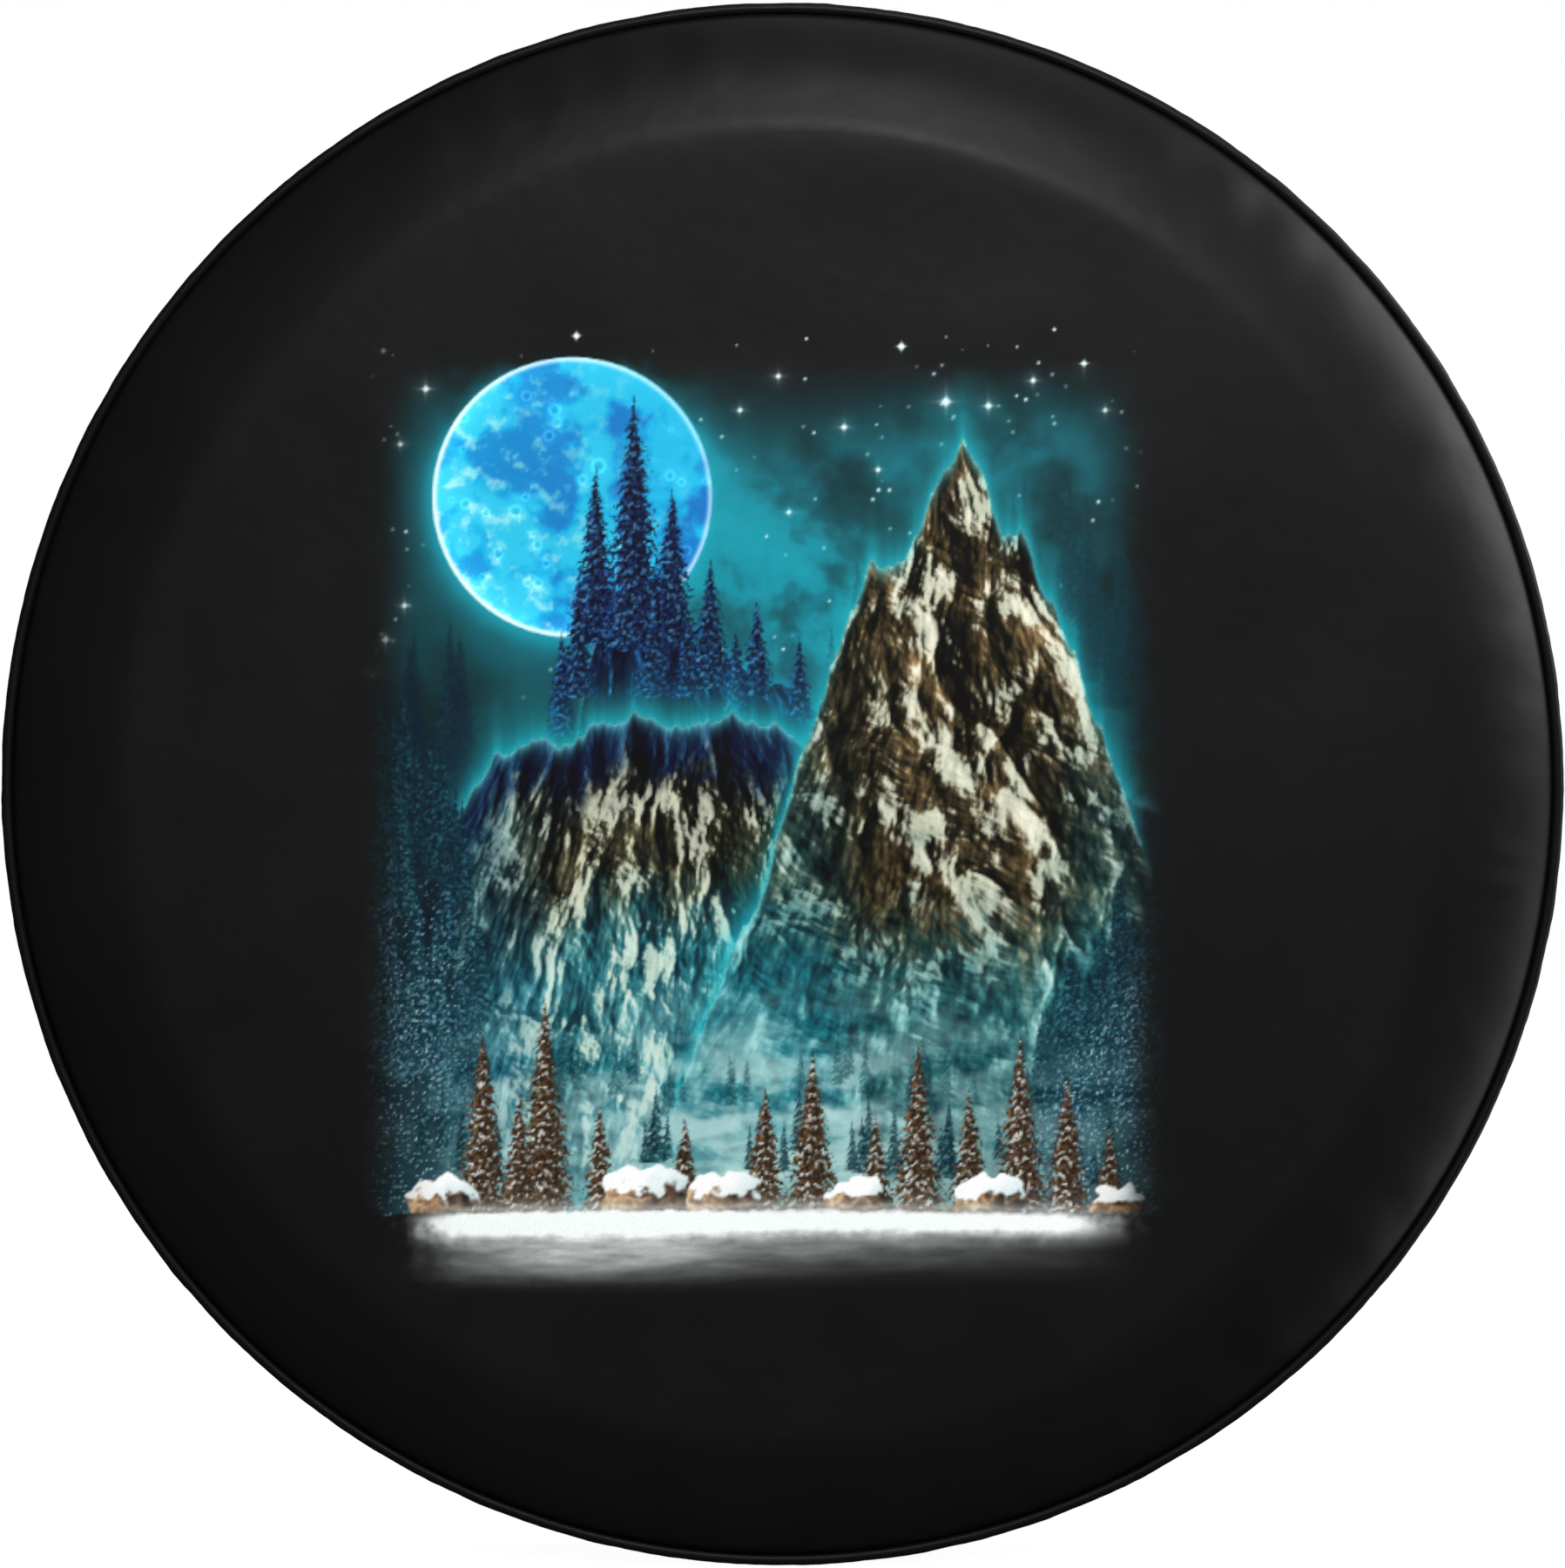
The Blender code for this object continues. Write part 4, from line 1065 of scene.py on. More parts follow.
# ---------------------------------------------------------------- front panel
PRINT_GAIN, PRINT_HAZE = 1.0, 0.005  # for this scene's light
PANEL_EDGE = 364.9
SHOULDER_R = np.array([0.0, 300.0, 307.0, 311.5, 316.5, 323.0, 332.0, 348.0, 356.0, 362.0, PANEL_EDGE])
SHOULDER_TURN = np.array([0.0, 0.0, 1.5, 7.0, 13.0, 17.0, 20.0, 29.0, 36.5, 46.0, 72.0])


def face_profile():
    """(r, y) of the front panel's outer side, from the middle to the end of its seam allowance."""
    flat = np.concatenate([[0.0, 4.0, 12.0], np.arange(24.0, 300.0, 12.0)])
    r = [300.0]
    y = [-VINYL]
    while r[-1] < PANEL_EDGE:
        turn = np.interp(r[-1], SHOULDER_R, SHOULDER_TURN)
        step = 1.6 * cos(radians(turn)) + 0.05
        nxt = min(PANEL_EDGE, r[-1] + step)
        mid = np.interp((r[-1] + nxt) / 2, SHOULDER_R, SHOULDER_TURN)
        y.append(y[-1] + (nxt - r[-1]) * tan(radians(mid)))
        r.append(nxt)
    tail = [(PANEL_EDGE - 0.3, WELT_Y + 1.6), (PANEL_EDGE - 0.9, WELT_Y + 2.8), (PANEL_EDGE - 1.4, WELT_Y + 4.0),
            (PANEL_EDGE - 2.0, WELT_Y + 6.0), (PANEL_EDGE - 2.1, WELT_Y + 10.0), (PANEL_EDGE - 2.1, WELT_Y + ALLOWANCE)]
    rr = np.concatenate([flat, r, [p[0] for p in tail]])
    yy = np.concatenate([np.full(len(flat), -VINYL), y, [p[1] for p in tail]])
    return rr, yy


PANEL_R, PANEL_Y = face_profile()
PANEL_RUN = np.concatenate([[0], np.cumsum(np.hypot(np.diff(PANEL_R), np.diff(PANEL_Y)))])
PANEL_ROLL = PANEL_RUN[int(np.argmax(PANEL_R >= PANEL_EDGE))]  # where the panel's roll ends


def panel_points(r, theta, run=None):
    """Points of the front panel's outer side: by radius on its face, or by length run along its
    section from the middle."""
    r, theta = np.broadcast_arrays(np.asarray(r, float), np.asarray(theta, float))
    s = np.interp(r, PANEL_R[: int(np.argmax(PANEL_R))], PANEL_RUN[: int(np.argmax(PANEL_R))]) if run is None else run + 0 * theta
    rr, yy = np.interp(s, PANEL_RUN, PANEL_R), np.interp(s, PANEL_RUN, PANEL_Y)
    dr = np.interp(s + 0.8, PANEL_RUN, PANEL_R) - np.interp(s - 0.8, PANEL_RUN, PANEL_R)
    dy = np.interp(s + 0.8, PANEL_RUN, PANEL_Y) - np.interp(s - 0.8, PANEL_RUN, PANEL_Y)
    size = np.maximum(np.hypot(dr, dy), 1e-6)
    nr, ny = dy / size, -dr / size
    base = np.stack([rr * np.cos(theta), yy, rr * np.sin(theta)], -1)
    deg = np.degrees(theta) % 360.0
    live = smooth(PANEL_EDGE + 0.4, 353.0, rr) * (s < PANEL_ROLL + 1.0)
    # slack in the flat of the panel, over a tyre that isn't solid behind the rim
    d = (lumps(base, 118.0, 1) * 1.3 + lumps(base, 52.0, 2) * 0.4) * smooth(330.0, 250.0, rr)
    d = d - 1.2 * smooth(275.0, 60.0, rr)
    # a rib of the tyre's sidewall shows at the top
    arc = smooth(54.0, 74.0, deg) * smooth(116.0, 88.0, deg)
    d = d + 0.9 * arc * smooth(262.0, 309.0, rr) * np.exp(-((np.clip(rr - 309.0, 0, None) / 7.0) ** 2))
    # soft tension folds over the shoulder
    folds = ring_noise(theta, 46, 5) * 0.42 * (0.35 + 0.65 * np.clip(ring_noise(theta, 7, 6) + 0.5, 0, 1.4))
    d = d + folds * smooth(322.0, 350.0, rr) * live
    for at_deg, wide, tall in ((-8.2, 1.0, 0.75), (-10.4, 0.8, 0.6), (-5.6, 0.7, 0.35), (171.0, 1.0, 0.4), (-62.0, 1.3, 0.4),
                               (28.0, 1.2, 0.35), (118.0, 1.2, 0.35)):
        d = d + tall * np.exp(-((wrap(deg - at_deg) / wide) ** 2)) * smooth(326.0, 346.0, rr) * live
    d = d + lumps(base, 34.0, 3) * 0.35 * smooth(310.0, 340.0, rr) * live
    n = np.stack([nr * np.cos(theta), ny, nr * np.sin(theta)], -1)
    return base + n * d[..., None], n


def build_face():
    """The panel as one closed shell: a fine grid under the print, rings from there to the seam
    allowance, and the fabric's inner side."""
    fine = 0.8
    gx = np.linspace(ART_X0, ART_X1, int((ART_X1 - ART_X0) / fine) + 1)
    gz = np.linspace(ART_Z0, ART_Z1, int((ART_Z1 - ART_Z0) / fine) + 1)
    nx, nz = len(gx), len(gz)
    xx, zz = np.meshgrid(gx, gz)
    grid, _ = panel_points(np.hypot(xx, zz), np.arctan2(zz, xx))
    verts = [grid.reshape(-1, 3)]
    count = nx * nz
    a = (np.arange(nz - 1)[:, None] * nx + np.arange(nx - 1)[None, :]).reshape(-1)
    quads = [np.stack([a, a + 1, a + nx + 1, a + nx], 1)]
    # a fan from the rectangle's edge to 720 columns just outside it, then loops out to a circle
    edge = np.concatenate([
        np.arange(nx - 1), np.arange(nz - 1) * nx + nx - 1, (nz - 1) * nx + np.arange(nx - 1, 0, -1),
        np.arange(nz - 1, 0, -1) * nx,
    ])
    ex, ez = xx.reshape(-1)[edge], zz.reshape(-1)[edge]
    et = np.arctan2(ez, ex)
    n_edge = len(edge)
    circle, cols = 332.0, 720
    turn = -pi + np.arange(cols) / cols * 2 * pi
    c, q = np.cos(turn), np.sin(turn)
    across = np.where(c > 0, ART_X1, ART_X0) / np.where(np.abs(c) < 1e-6, np.where(c > 0, 1e-6, -1e-6), c)
    upright = np.where(q > 0, ART_Z1, ART_Z0) / np.where(np.abs(q) < 1e-6, np.where(q > 0, 1e-6, -1e-6), q)
    border = np.minimum(across, upright) + 2.5
    order = np.argsort(et)
    inner, ia = edge[order], et[order]
    ring = count + np.arange(cols)
    pts, _ = panel_points(border, turn)
    verts.append(pts)
    count += cols
    tris, i, j = [], 0, 0
    while i < n_edge or j < cols:
        next_i = ia[i + 1] if i + 1 < n_edge else ia[0] + 2 * pi if i < n_edge else 99.0
        next_j = turn[j + 1] if j + 1 < cols else turn[0] + 2 * pi if j < cols else 99.0
        if next_i <= next_j:
            tris.append((inner[i % n_edge], ring[j % cols], inner[(i + 1) % n_edge]))
            i += 1
        else:
            tris.append((inner[i % n_edge], ring[j % cols], ring[(j + 1) % cols]))
            j += 1
    last = ring
    for t in np.concatenate([np.arange(0.08, 0.56, 0.08), np.arange(0.60, 0.999, 0.028), [1.0]]):
        pts, _ = panel_points(border + (circle - border) * t, turn)
        new = count + np.arange(cols)
        verts.append(pts)
        count += cols
        quads.append(np.stack([last, new, np.roll(new, -1), np.roll(last, -1)], 1))
        last = new
    run0 = float(np.interp(circle, PANEL_R[: int(np.argmax(PANEL_R))], PANEL_RUN[: int(np.argmax(PANEL_R))]))
    runs = [v for v in PANEL_RUN if v > run0 + 0.8]
    for run in runs:
        pts, normal = panel_points(0.0, turn, run)
        new = count + np.arange(cols)
        verts.append(pts)
        count += cols
        quads.append(np.stack([last, new, np.roll(new, -1), np.roll(last, -1)], 1))
        last = new
    # the inner side, from the end of the allowance back to the middle
    inner_quads = []
    steps = [v for v in PANEL_RUN if v > 3.0][::-1]
    steps = [v for k, v in enumerate(steps) if k % 2 == 0 or v > PANEL_ROLL]
    for run in steps:
        pts, normal = panel_points(0.0, turn, run)
        new = count + np.arange(cols)
        verts.append(pts - normal * VINYL)
        count += cols
        inner_quads.append(np.stack([last, new, np.roll(new, -1), np.roll(last, -1)], 1))
        last = new
    pts, normal = panel_points(np.array([0.0]), np.array([0.0]))
    verts.append(pts - normal * VINYL)
    hub = [(int(last[k]), count, int(last[(k + 1) % cols])) for k in range(cols)]
    verts = np.concatenate(verts)
    faces = np.concatenate(quads).tolist() + [tuple(int(v) for v in t) for t in tris]
    back = np.concatenate(inner_quads).tolist() + hub
    mats = [0] * len(faces) + [1] * len(back)
    obj = to_object("front_panel", verts, faces + back, [MAT["face"], MAT["back"]], 60.0, mats)
    # the print, painted onto the vertices of the outer side
    pic, ink = paint_landscape()
    light = np.where(pic <= 0.04045, pic / 12.92, ((pic + 0.055) / 1.055) ** 2.4)
    light = np.clip(light * PRINT_GAIN - PRINT_HAZE, 0.0015, 0.9)
    out = np.zeros((len(verts), 4), np.float32)
    flat = verts[: nx * nz]
    u = np.clip((flat[:, 0] - ART_X0) / ART_STEP, 0, pic.shape[1] - 1.001)
    v = np.clip((ART_Z1 - flat[:, 2]) / ART_STEP, 0, pic.shape[0] - 1.001)
    iu, iv = u.astype(int), v.astype(int)
    fu, fv = (u - iu)[:, None], (v - iv)[:, None]
    both = np.concatenate([light, ink[..., None]], -1)
    out[: nx * nz] = (both[iv, iu] * (1 - fu) + both[iv, iu + 1] * fu) * (1 - fv) + (
        both[iv + 1, iu] * (1 - fu) + both[iv + 1, iu + 1] * fu
    ) * fv
    layer = obj.data.attributes.new("print", "FLOAT_COLOR", "POINT")
    layer.data.foreach_set("color", out.reshape(-1))
    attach(obj, "cover")
    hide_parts("face_panel")
    return obj


# ---------------------------------------------------------------- tread band and rear skirt
def band_profile():
    """(r, y) of the band's outer side: seam edge, tread, rear shoulder, skirt, hem edge."""
    pts = [(366.6, WELT_Y + 3.7), (367.4, WELT_Y + 4.2), (367.85, WELT_Y + 5.2), (368.0, WELT_Y + 7.0)]
    pts += [(368.0, y) for y in np.arange(WELT_Y + 11.0, 200.0, 6.0)]
    knots = [(368.0, 206.0), (366.4, 217.0), (361.5, 227.0), (353.0, 235.0), (342.0, 239.8), (329.0, REAR_Y)]
    bend = through([(a, b, 0.0) for a, b in knots], 3.0)[:, :2]
    pts += [tuple(p) for p in bend]
    pts += [(r, REAR_Y) for r in np.arange(326.0, SKIRT_EDGE_R, -2.2)] + [(SKIRT_EDGE_R, REAR_Y)]
    return np.array(pts)


PROFILE = band_profile()
PROFILE_RUN = np.concatenate([[0], np.cumsum(np.linalg.norm(np.diff(PROFILE, axis=0), axis=1))])
PLEATS = 78


def pleat_phase(theta):
    return PLEATS * theta + 1.5 * ring_noise(theta, 9, 21) + 0.9 * ring_noise(theta, 23, 22)


def calm(theta, r):
    """1 where gathers run free, less by the eyelets' patches and under the cord lock."""
    x, z = r * np.cos(theta), r * np.sin(theta)
    out = np.ones_like(x)
    for s in (-1, 1):
        ex, ez = s * EYELET_R * sin(radians(EYELET_DEG)), EYELET_R * cos(radians(EYELET_DEG))
        out *= 1 - 0.97 * smooth(46.0, 24.0, np.hypot(x - ex, z - ez))
    out *= 1 - 0.85 * smooth(34.0, 20.0, np.hypot(x * 0.9, (z + 290.0) * 0.45))
    return out


def gather(theta, r):
    """How far the skirt stands out of its plane, along Y, at radius r. It grows towards the hem."""
    reach = 0.5 + 0.5 * np.clip(ring_noise(theta, 17, 31) * 0.8 + 0.2, -1, 1)
    grow = smooth(350.0 - 26.0 * reach, 276.0, r)
    depth = grow**1.25 * (3.4 + 1.1 * np.clip(ring_noise(theta, 13, 32), -1, 1))
    phase = pleat_phase(theta) + (r - 270.0) * 0.012 * ring_noise(theta, 11, 33)
    wave = np.cos(phase)
    wave = np.sign(wave) * np.abs(wave) ** 0.8
    fine = depth * wave
    # every few gathers run together into one broad fold further out
    broad = np.cos(pleat_phase(theta) / 3.0 * 1.0 + 0.7) if PLEATS % 3 == 0 else 0.0
    wide = 1.5 * smooth(366.0, 318.0, r) * smooth(262.0, 300.0, r) * broad
    wide *= 0.5 + 0.5 * np.clip(ring_noise(theta, 8, 34) + 0.4, 0, 1.3)
    return (fine + wide) * calm(theta, r)


def band_points(theta, run):
    """Outer points of the band at angles theta (radians) and lengths run along its profile."""
    tt, ss = np.broadcast_arrays(theta, run)
    r = np.interp(ss, PROFILE_RUN, PROFILE[:, 0])
    y = np.interp(ss, PROFILE_RUN, PROFILE[:, 1])
    r2 = np.interp(ss + 0.8, PROFILE_RUN, PROFILE[:, 0])
    y2 = np.interp(ss + 0.8, PROFILE_RUN, PROFILE[:, 1])
    r1 = np.interp(ss - 0.8, PROFILE_RUN, PROFILE[:, 0])
    y1 = np.interp(ss - 0.8, PROFILE_RUN, PROFILE[:, 1])
    length = np.maximum(np.hypot(r2 - r1, y2 - y1), 1e-6)
    nr, ny = (y2 - y1) / length, -(r2 - r1) / length
    base = np.stack([r * np.cos(tt), y, r * np.sin(tt)], -1)
    d = gather(tt, np.minimum(r, 366.0)) * smooth(190.0, 226.0, y)
    # the cloth bridges the tread between the tyre's shoulders, and carries folds forward from the gathers
    tread = smooth(WELT_Y + 6.0, WELT_Y + 26.0, y) * smooth(222.0, 190.0, y)
    d -= 1.0 * tread * np.sin(np.clip((y - WELT_Y) / (210.0 - WELT_Y), 0, 1) * pi)
    pull = smooth(80.0, 210.0, y) * smooth(236.0, 216.0, y)
    d += pull * 1.25 * np.cos(pleat_phase(tt) / 3.0 + 0.7 + (y - 210.0) * 0.006) * (
        0.5 + 0.5 * np.clip(ring_noise(tt, 8, 41), -1, 1)
    )
    d += lumps(base, 74.0, 4) * 2.2 * tread + lumps(base, 27.0, 5) * 0.7 * tread
    # soft creases run slantwise across the tread where the cloth is drawn in from behind
    slant = tt * 26.0 + (y - 120.0) * 0.014 * np.sin(3.0 * tt + 0.4)
    crease = np.clip(np.sin(slant + 2.2 * ring_noise(tt, 5, 43)), 0, 1) ** 6
    d += crease * 1.1 * tread * np.clip(ring_noise(tt, 6, 44) + 0.35, 0, 1) * smooth(40.0, 120.0, y)
    pucker = smooth(WELT_Y + 22.0, WELT_Y + 5.0, y)
    d += pucker * 0.28 * ring_noise(tt, 150, 42) * smooth(WELT_Y + 3.0, WELT_Y + 8.0, y)
    # the joins at three and nine o'clock
    for at in (0.0, 180.0):
        off = np.radians(wrap(np.degrees(tt) - at)) * r
        d -= 0.55 * np.exp(-((off / 1.3) ** 2))
        d += 0.35 * np.exp(-(((np.abs(off) - 4.0) / 2.6) ** 2))
        d += 0.22 * np.sin(ss * 0.9 + at) * np.exp(-(((np.abs(off) - 2.5) / 4.0) ** 2))
    n = np.stack([nr * np.cos(tt), ny, nr * np.sin(tt)], -1)
    return base + n * d[..., None]


def band_normal(theta, run, e=0.35):
    a = band_points(theta + e / 366.0, run) - band_points(theta - e / 366.0, run)
    b = band_points(theta, run + e) - band_points(theta, run - e)
    n = np.cross(a, b)
    n /= np.linalg.norm(n, axis=-1, keepdims=True)
    outward = band_points(theta, run) - np.array([0.0, 120.0, 0.0])
    return n * np.sign((n * outward).sum(-1, keepdims=True))


def build_band():
    cols = 430
    gap = degrees(0.2 / BAND_R)
    out = []
    for name, node, a, b in (
        ("band_upper", "tread_band_upper", gap, 180 - gap),
        ("band_lower", "tread_band_lower", 180 + gap, 360 - gap),
    ):
        t = np.linspace(0, 1, cols)
        # closer columns next to the joins
        t = t - 0.012 * np.sin(2 * pi * t) / 1.0
        theta = np.radians(a + (b - a) * t)
        grid = band_points(theta[None, :], PROFILE_RUN[:, None])
        obj = skin(name, grid, VINYL, [MAT["band"], MAT["back"]], False)
        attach(obj, "cover")
        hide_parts(node)
        out.append(obj)
    return out


# ---------------------------------------------------------------- welt
def build_welt():
    cols = 900
    theta = np.arange(cols) / cols * 2 * pi
    wob = ring_noise(theta, 60, 51) * 0.10 + ring_noise(theta, 210, 52) * 0.05
    sides = 16
    a = np.arange(sides) / sides * 2 * pi
    rings = []
    for t, w in zip(theta, wob):
        r = WELT_R + w * 0.6 + (WELT_OUT - 0.05 + w) * np.cos(a)
        y = WELT_Y + w + (WELT_OUT + w * 0.5) * np.sin(a)
        rings.append(np.stack([r * cos(t), y, r * sin(t)], 1))
    obj = loft("edge_welt", np.array(rings), [MAT["welt"]], True, 180)
    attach(obj, "cover")
    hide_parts("welt_wrap", "welt_cord")
    return obj


# ---------------------------------------------------------------- hem casing and its tape
def wrapped_section():
    """The casing's section about the tunnel's centre, closed: a tube with two tails that grip
    the skirt's edge."""
    out = []
    wide = degrees(asin(1.7 / HEM_OUTER))
    for k in np.linspace(wide, 360 - wide, 15):
        out.append((HEM_R + HEM_OUTER * cos(radians(k)), HEM_OUTER * sin(radians(k))))
    for r in (268.0, 272.0, 276.5, HEM_TAIL):
        out.append((r, -1.7 if r < HEM_TAIL else -1.45))
    for r in (HEM_TAIL, 274.0, 269.0):
        out.append((r, -0.9 if r < HEM_TAIL else -1.0))
    thin = degrees(asin(0.9 / HEM_INNER))
    for k in np.linspace(360 - thin, thin, 11):
        out.append((HEM_R + HEM_INNER * cos(radians(k)), HEM_INNER * sin(radians(k))))
    for r in (269.0, 274.0, HEM_TAIL):
        out.append((r, 0.9 if r < HEM_TAIL else 1.0))
    for r in (HEM_TAIL, 276.5, 272.0, 268.0):
        out.append((r, 1.7 if r < HEM_TAIL else 1.45))
    return np.array(out)


def hem_lift(theta, r):
    return gather(theta, np.maximum(r, SKIRT_EDGE_R + 1.0))


def build_casing():
    section = wrapped_section()
    cols = 860
    theta = np.radians(np.linspace(-90 + HEM_GAP, 270 - HEM_GAP, cols))
    rings = []
    for t in theta:
        r = section[:, 0]
        tt = np.full(len(r), t)
        # the tunnel puckers on the cord between gathers
        pinch = 1.0 + 0.05 * np.cos(pleat_phase(tt) * 2.0)
        r_here = HEM_R + (r - HEM_R) * np.where(r < 266.0, pinch, 1.0)
        y = REAR_Y - VINYL / 2 + section[:, 1] * np.where(r < 266.0, pinch, 1.0)
        y = y + hem_lift(tt, r) * np.where(r < 266.0, 0.86, 1.0)
        rings.append(np.stack([r_here * np.cos(tt), y, r_here * np.sin(tt)], 1))
    obj = loft("hem_binding", np.array(rings), [MAT["tape"]], False, 60)
    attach(obj, "cover")
    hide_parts("hem_casing")
    return obj


# ---------------------------------------------------------------- drawcord, lock, cap
def build_cord():
    theta = np.radians(np.linspace(-90 + HEM_GAP - 0.6, 270 - HEM_GAP + 0.6, 500))
    lift = hem_lift(theta, np.full(len(theta), HEM_R)) * 0.86
    ring = np.stack([HEM_R * np.cos(theta), HEM_Y + lift, HEM_R * np.sin(theta)], 1)
    y0 = LOCK.y

    def leg(sign, y):
        return [
            (sign * 15.0, 242.6, -261.9),
            (sign * 9.4, (244.6 + y) / 2 - 1.0, -262.9),
            (sign * 5.2, y - 1.2, -264.9),
            (sign * 2.0, y - 0.3, -268.2),
            (sign * 0.3, y, -272.4),
            (0.0, y, -276.0),
            (0.0, y, -300.0),
            (sign * 0.35, y, -318.0),
            (0.0, y, CAP_BOX[0].z / MM + 5.2),
        ]

    right = leg(1, y0 + 2.75)
    left = leg(-1, y0 - 2.75)
    path = through(np.concatenate([right[::-1], ring[6:-6:8], left]), 1.6)
    run = np.concatenate([[0], np.cumsum(np.linalg.norm(np.diff(path, axis=0), axis=1))])
    obj = loft("drawcord", tube_rings(path, 2.42, 14), [MAT["cord"]], False, 60, run)
    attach(obj, "cover")
    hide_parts("hem_drawcord")
    return obj


ALONG_Y = Matrix.Rotation(radians(-90), 4, "X")
ALONG_X = Matrix.Rotation(radians(90), 4, "Y")
ALONG_MINUS_Z = Matrix.Rotation(radians(180), 4, "X")


def at(x, y, z):
    return Matrix.Translation(Vector((x, y, z)) * MM)


def build_lock():
    place_lock = at(*LOCK) @ ALONG_X
    left, right = LOCK_BOX[0].x / MM, LOCK_BOX[1].x / MM
    outer, bore, floor = 9.5, 7.3, left + 1.8
    ribs = []
    for i in range(5):  # grip rings moulded round the barrel's closed end
        c = left + 3.4 + i * 1.9
        ribs += [(outer - 0.02, c - 0.62), (outer - 0.5, c - 0.3), (outer - 0.5, c + 0.3), (outer - 0.02, c + 0.62)]
    section = [(0.0, left), (outer - 2.0, left), (outer - 0.45, left + 0.7), (outer, left + 2.1)] + ribs
    section += [(outer, right - 1.0), (outer - 0.35, right - 0.25), (outer - 0.9, right), (bore + 0.35, right),
                (bore, right - 0.35), (bore, floor + 0.5), (bore - 0.5, floor), (0.0, floor)]
    body = spun("lock_barrel", section, 72, place_lock, [MAT["plastic"]])
    cut(body, block((9.6, 11.2, 30.0), (LOCK.x - 2.0, LOCK.y, LOCK.z), 1.9))
    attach(body, "cord_lock")
    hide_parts("cord_lock_body")

    b_in, b_out = BUTTON_BOX[0].x / MM, BUTTON_BOX[1].x / MM
    pr = 7.0
    button = [(0.0, b_in), (pr - 0.5, b_in), (pr, b_in + 0.5), (pr, b_out - 2.4), (pr - 0.25, b_out - 1.4),
              (pr - 0.9, b_out - 0.6), (pr - 1.9, b_out - 0.12), (pr - 2.8, b_out), (3.2, b_out - 0.3),
              (1.5, b_out - 0.55), (0.0, b_out - 0.62)]
    plunger = spun("lock_button", button, 72, place_lock, [MAT["plastic"]], 50)
    cut(plunger, block((9.6, 11.2, 30.0), (LOCK.x + 2.0, LOCK.y, LOCK.z), 1.7))
    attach(plunger, "plunger")
    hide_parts("cord_lock_plunger")

    # the spring, from the barrel's floor to the button, built at one length
    low, high, wire, coil, turns = floor + 0.5, b_in - 0.45, 0.38, 5.2, 3.2
    k = np.linspace(0, 1, 140)
    # the end turns are closed
    pitch = np.interp(k, [0, 0.2, 0.8, 1], [0.0, 0.06, 0.94, 1.0])
    x = LOCK.x + low + wire + (high - low - 2 * wire) * pitch
    path = np.stack([x, LOCK.y + coil * np.cos(2 * pi * turns * k), LOCK.z + coil * np.sin(2 * pi * turns * k)], 1)
    spring = loft("lock_spring", tube_rings(path, wire, 10), [MAT["steel"]], False, 60)
    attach(spring, "cord_lock")
    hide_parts("cord_lock_spring")
    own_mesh(spring)

    top, bottom = CAP_BOX[1].z / MM, CAP_BOX[0].z / MM
    section = [(0.0, -bottom), (4.6, -bottom), (6.2, -bottom - 0.5), (7.2, -bottom - 1.8), (7.4, -bottom - 3.0),
               (7.4, -bottom - 4.2), (7.0, -bottom - 4.6), (7.0, -bottom - 5.4), (7.4, -bottom - 5.8),
               (7.4, -top + 4.2), (7.1, -top + 1.4), (6.7, -top + 0.4), (6.1, -top), (0.0, -top)]
    cap = spun("cord_cap", section, 56, at(LOCK.x, LOCK.y, 0) @ ALONG_MINUS_Z, [MAT["plastic"]])
    cut(cap, block((5.6, 11.2, 24.0), (LOCK.x, LOCK.y, bottom + 4.0 + 12.0), 2.2))
    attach(cap, "cover")
    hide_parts("cord_end_cap")


# ---------------------------------------------------------------- eyelets and patches
def grommet_section(low, top):
    hole = 4.75
    pts = [(hole, low - 2.0), (hole, top + 0.35)]
    for k in np.linspace(180, 90, 6):  # rolled mouth
        pts.append((hole + 0.95 + 0.95 * cos(radians(k)), top + 0.35 + 0.95 * sin(radians(k))))
    pts += [(7.6, top + 1.28), (8.5, top + 1.12), (9.2, top + 0.7), (9.5, top + 0.2), (9.45, top), (hole + 0.65, top),
            (hole + 0.65, low - 1.4), (6.1, low - 1.35), (7.0, low - 1.5), (7.2, low - 1.9), (6.8, low - 2.2),
            (5.6, low - 2.3)]
    return pts


def washer_section(low):
    top = low - 0.3
    return [(5.8, top - 0.9), (5.8, top), (9.1, top), (9.4, top - 0.25), (9.35, top - 0.7), (8.8, top - 0.9)]


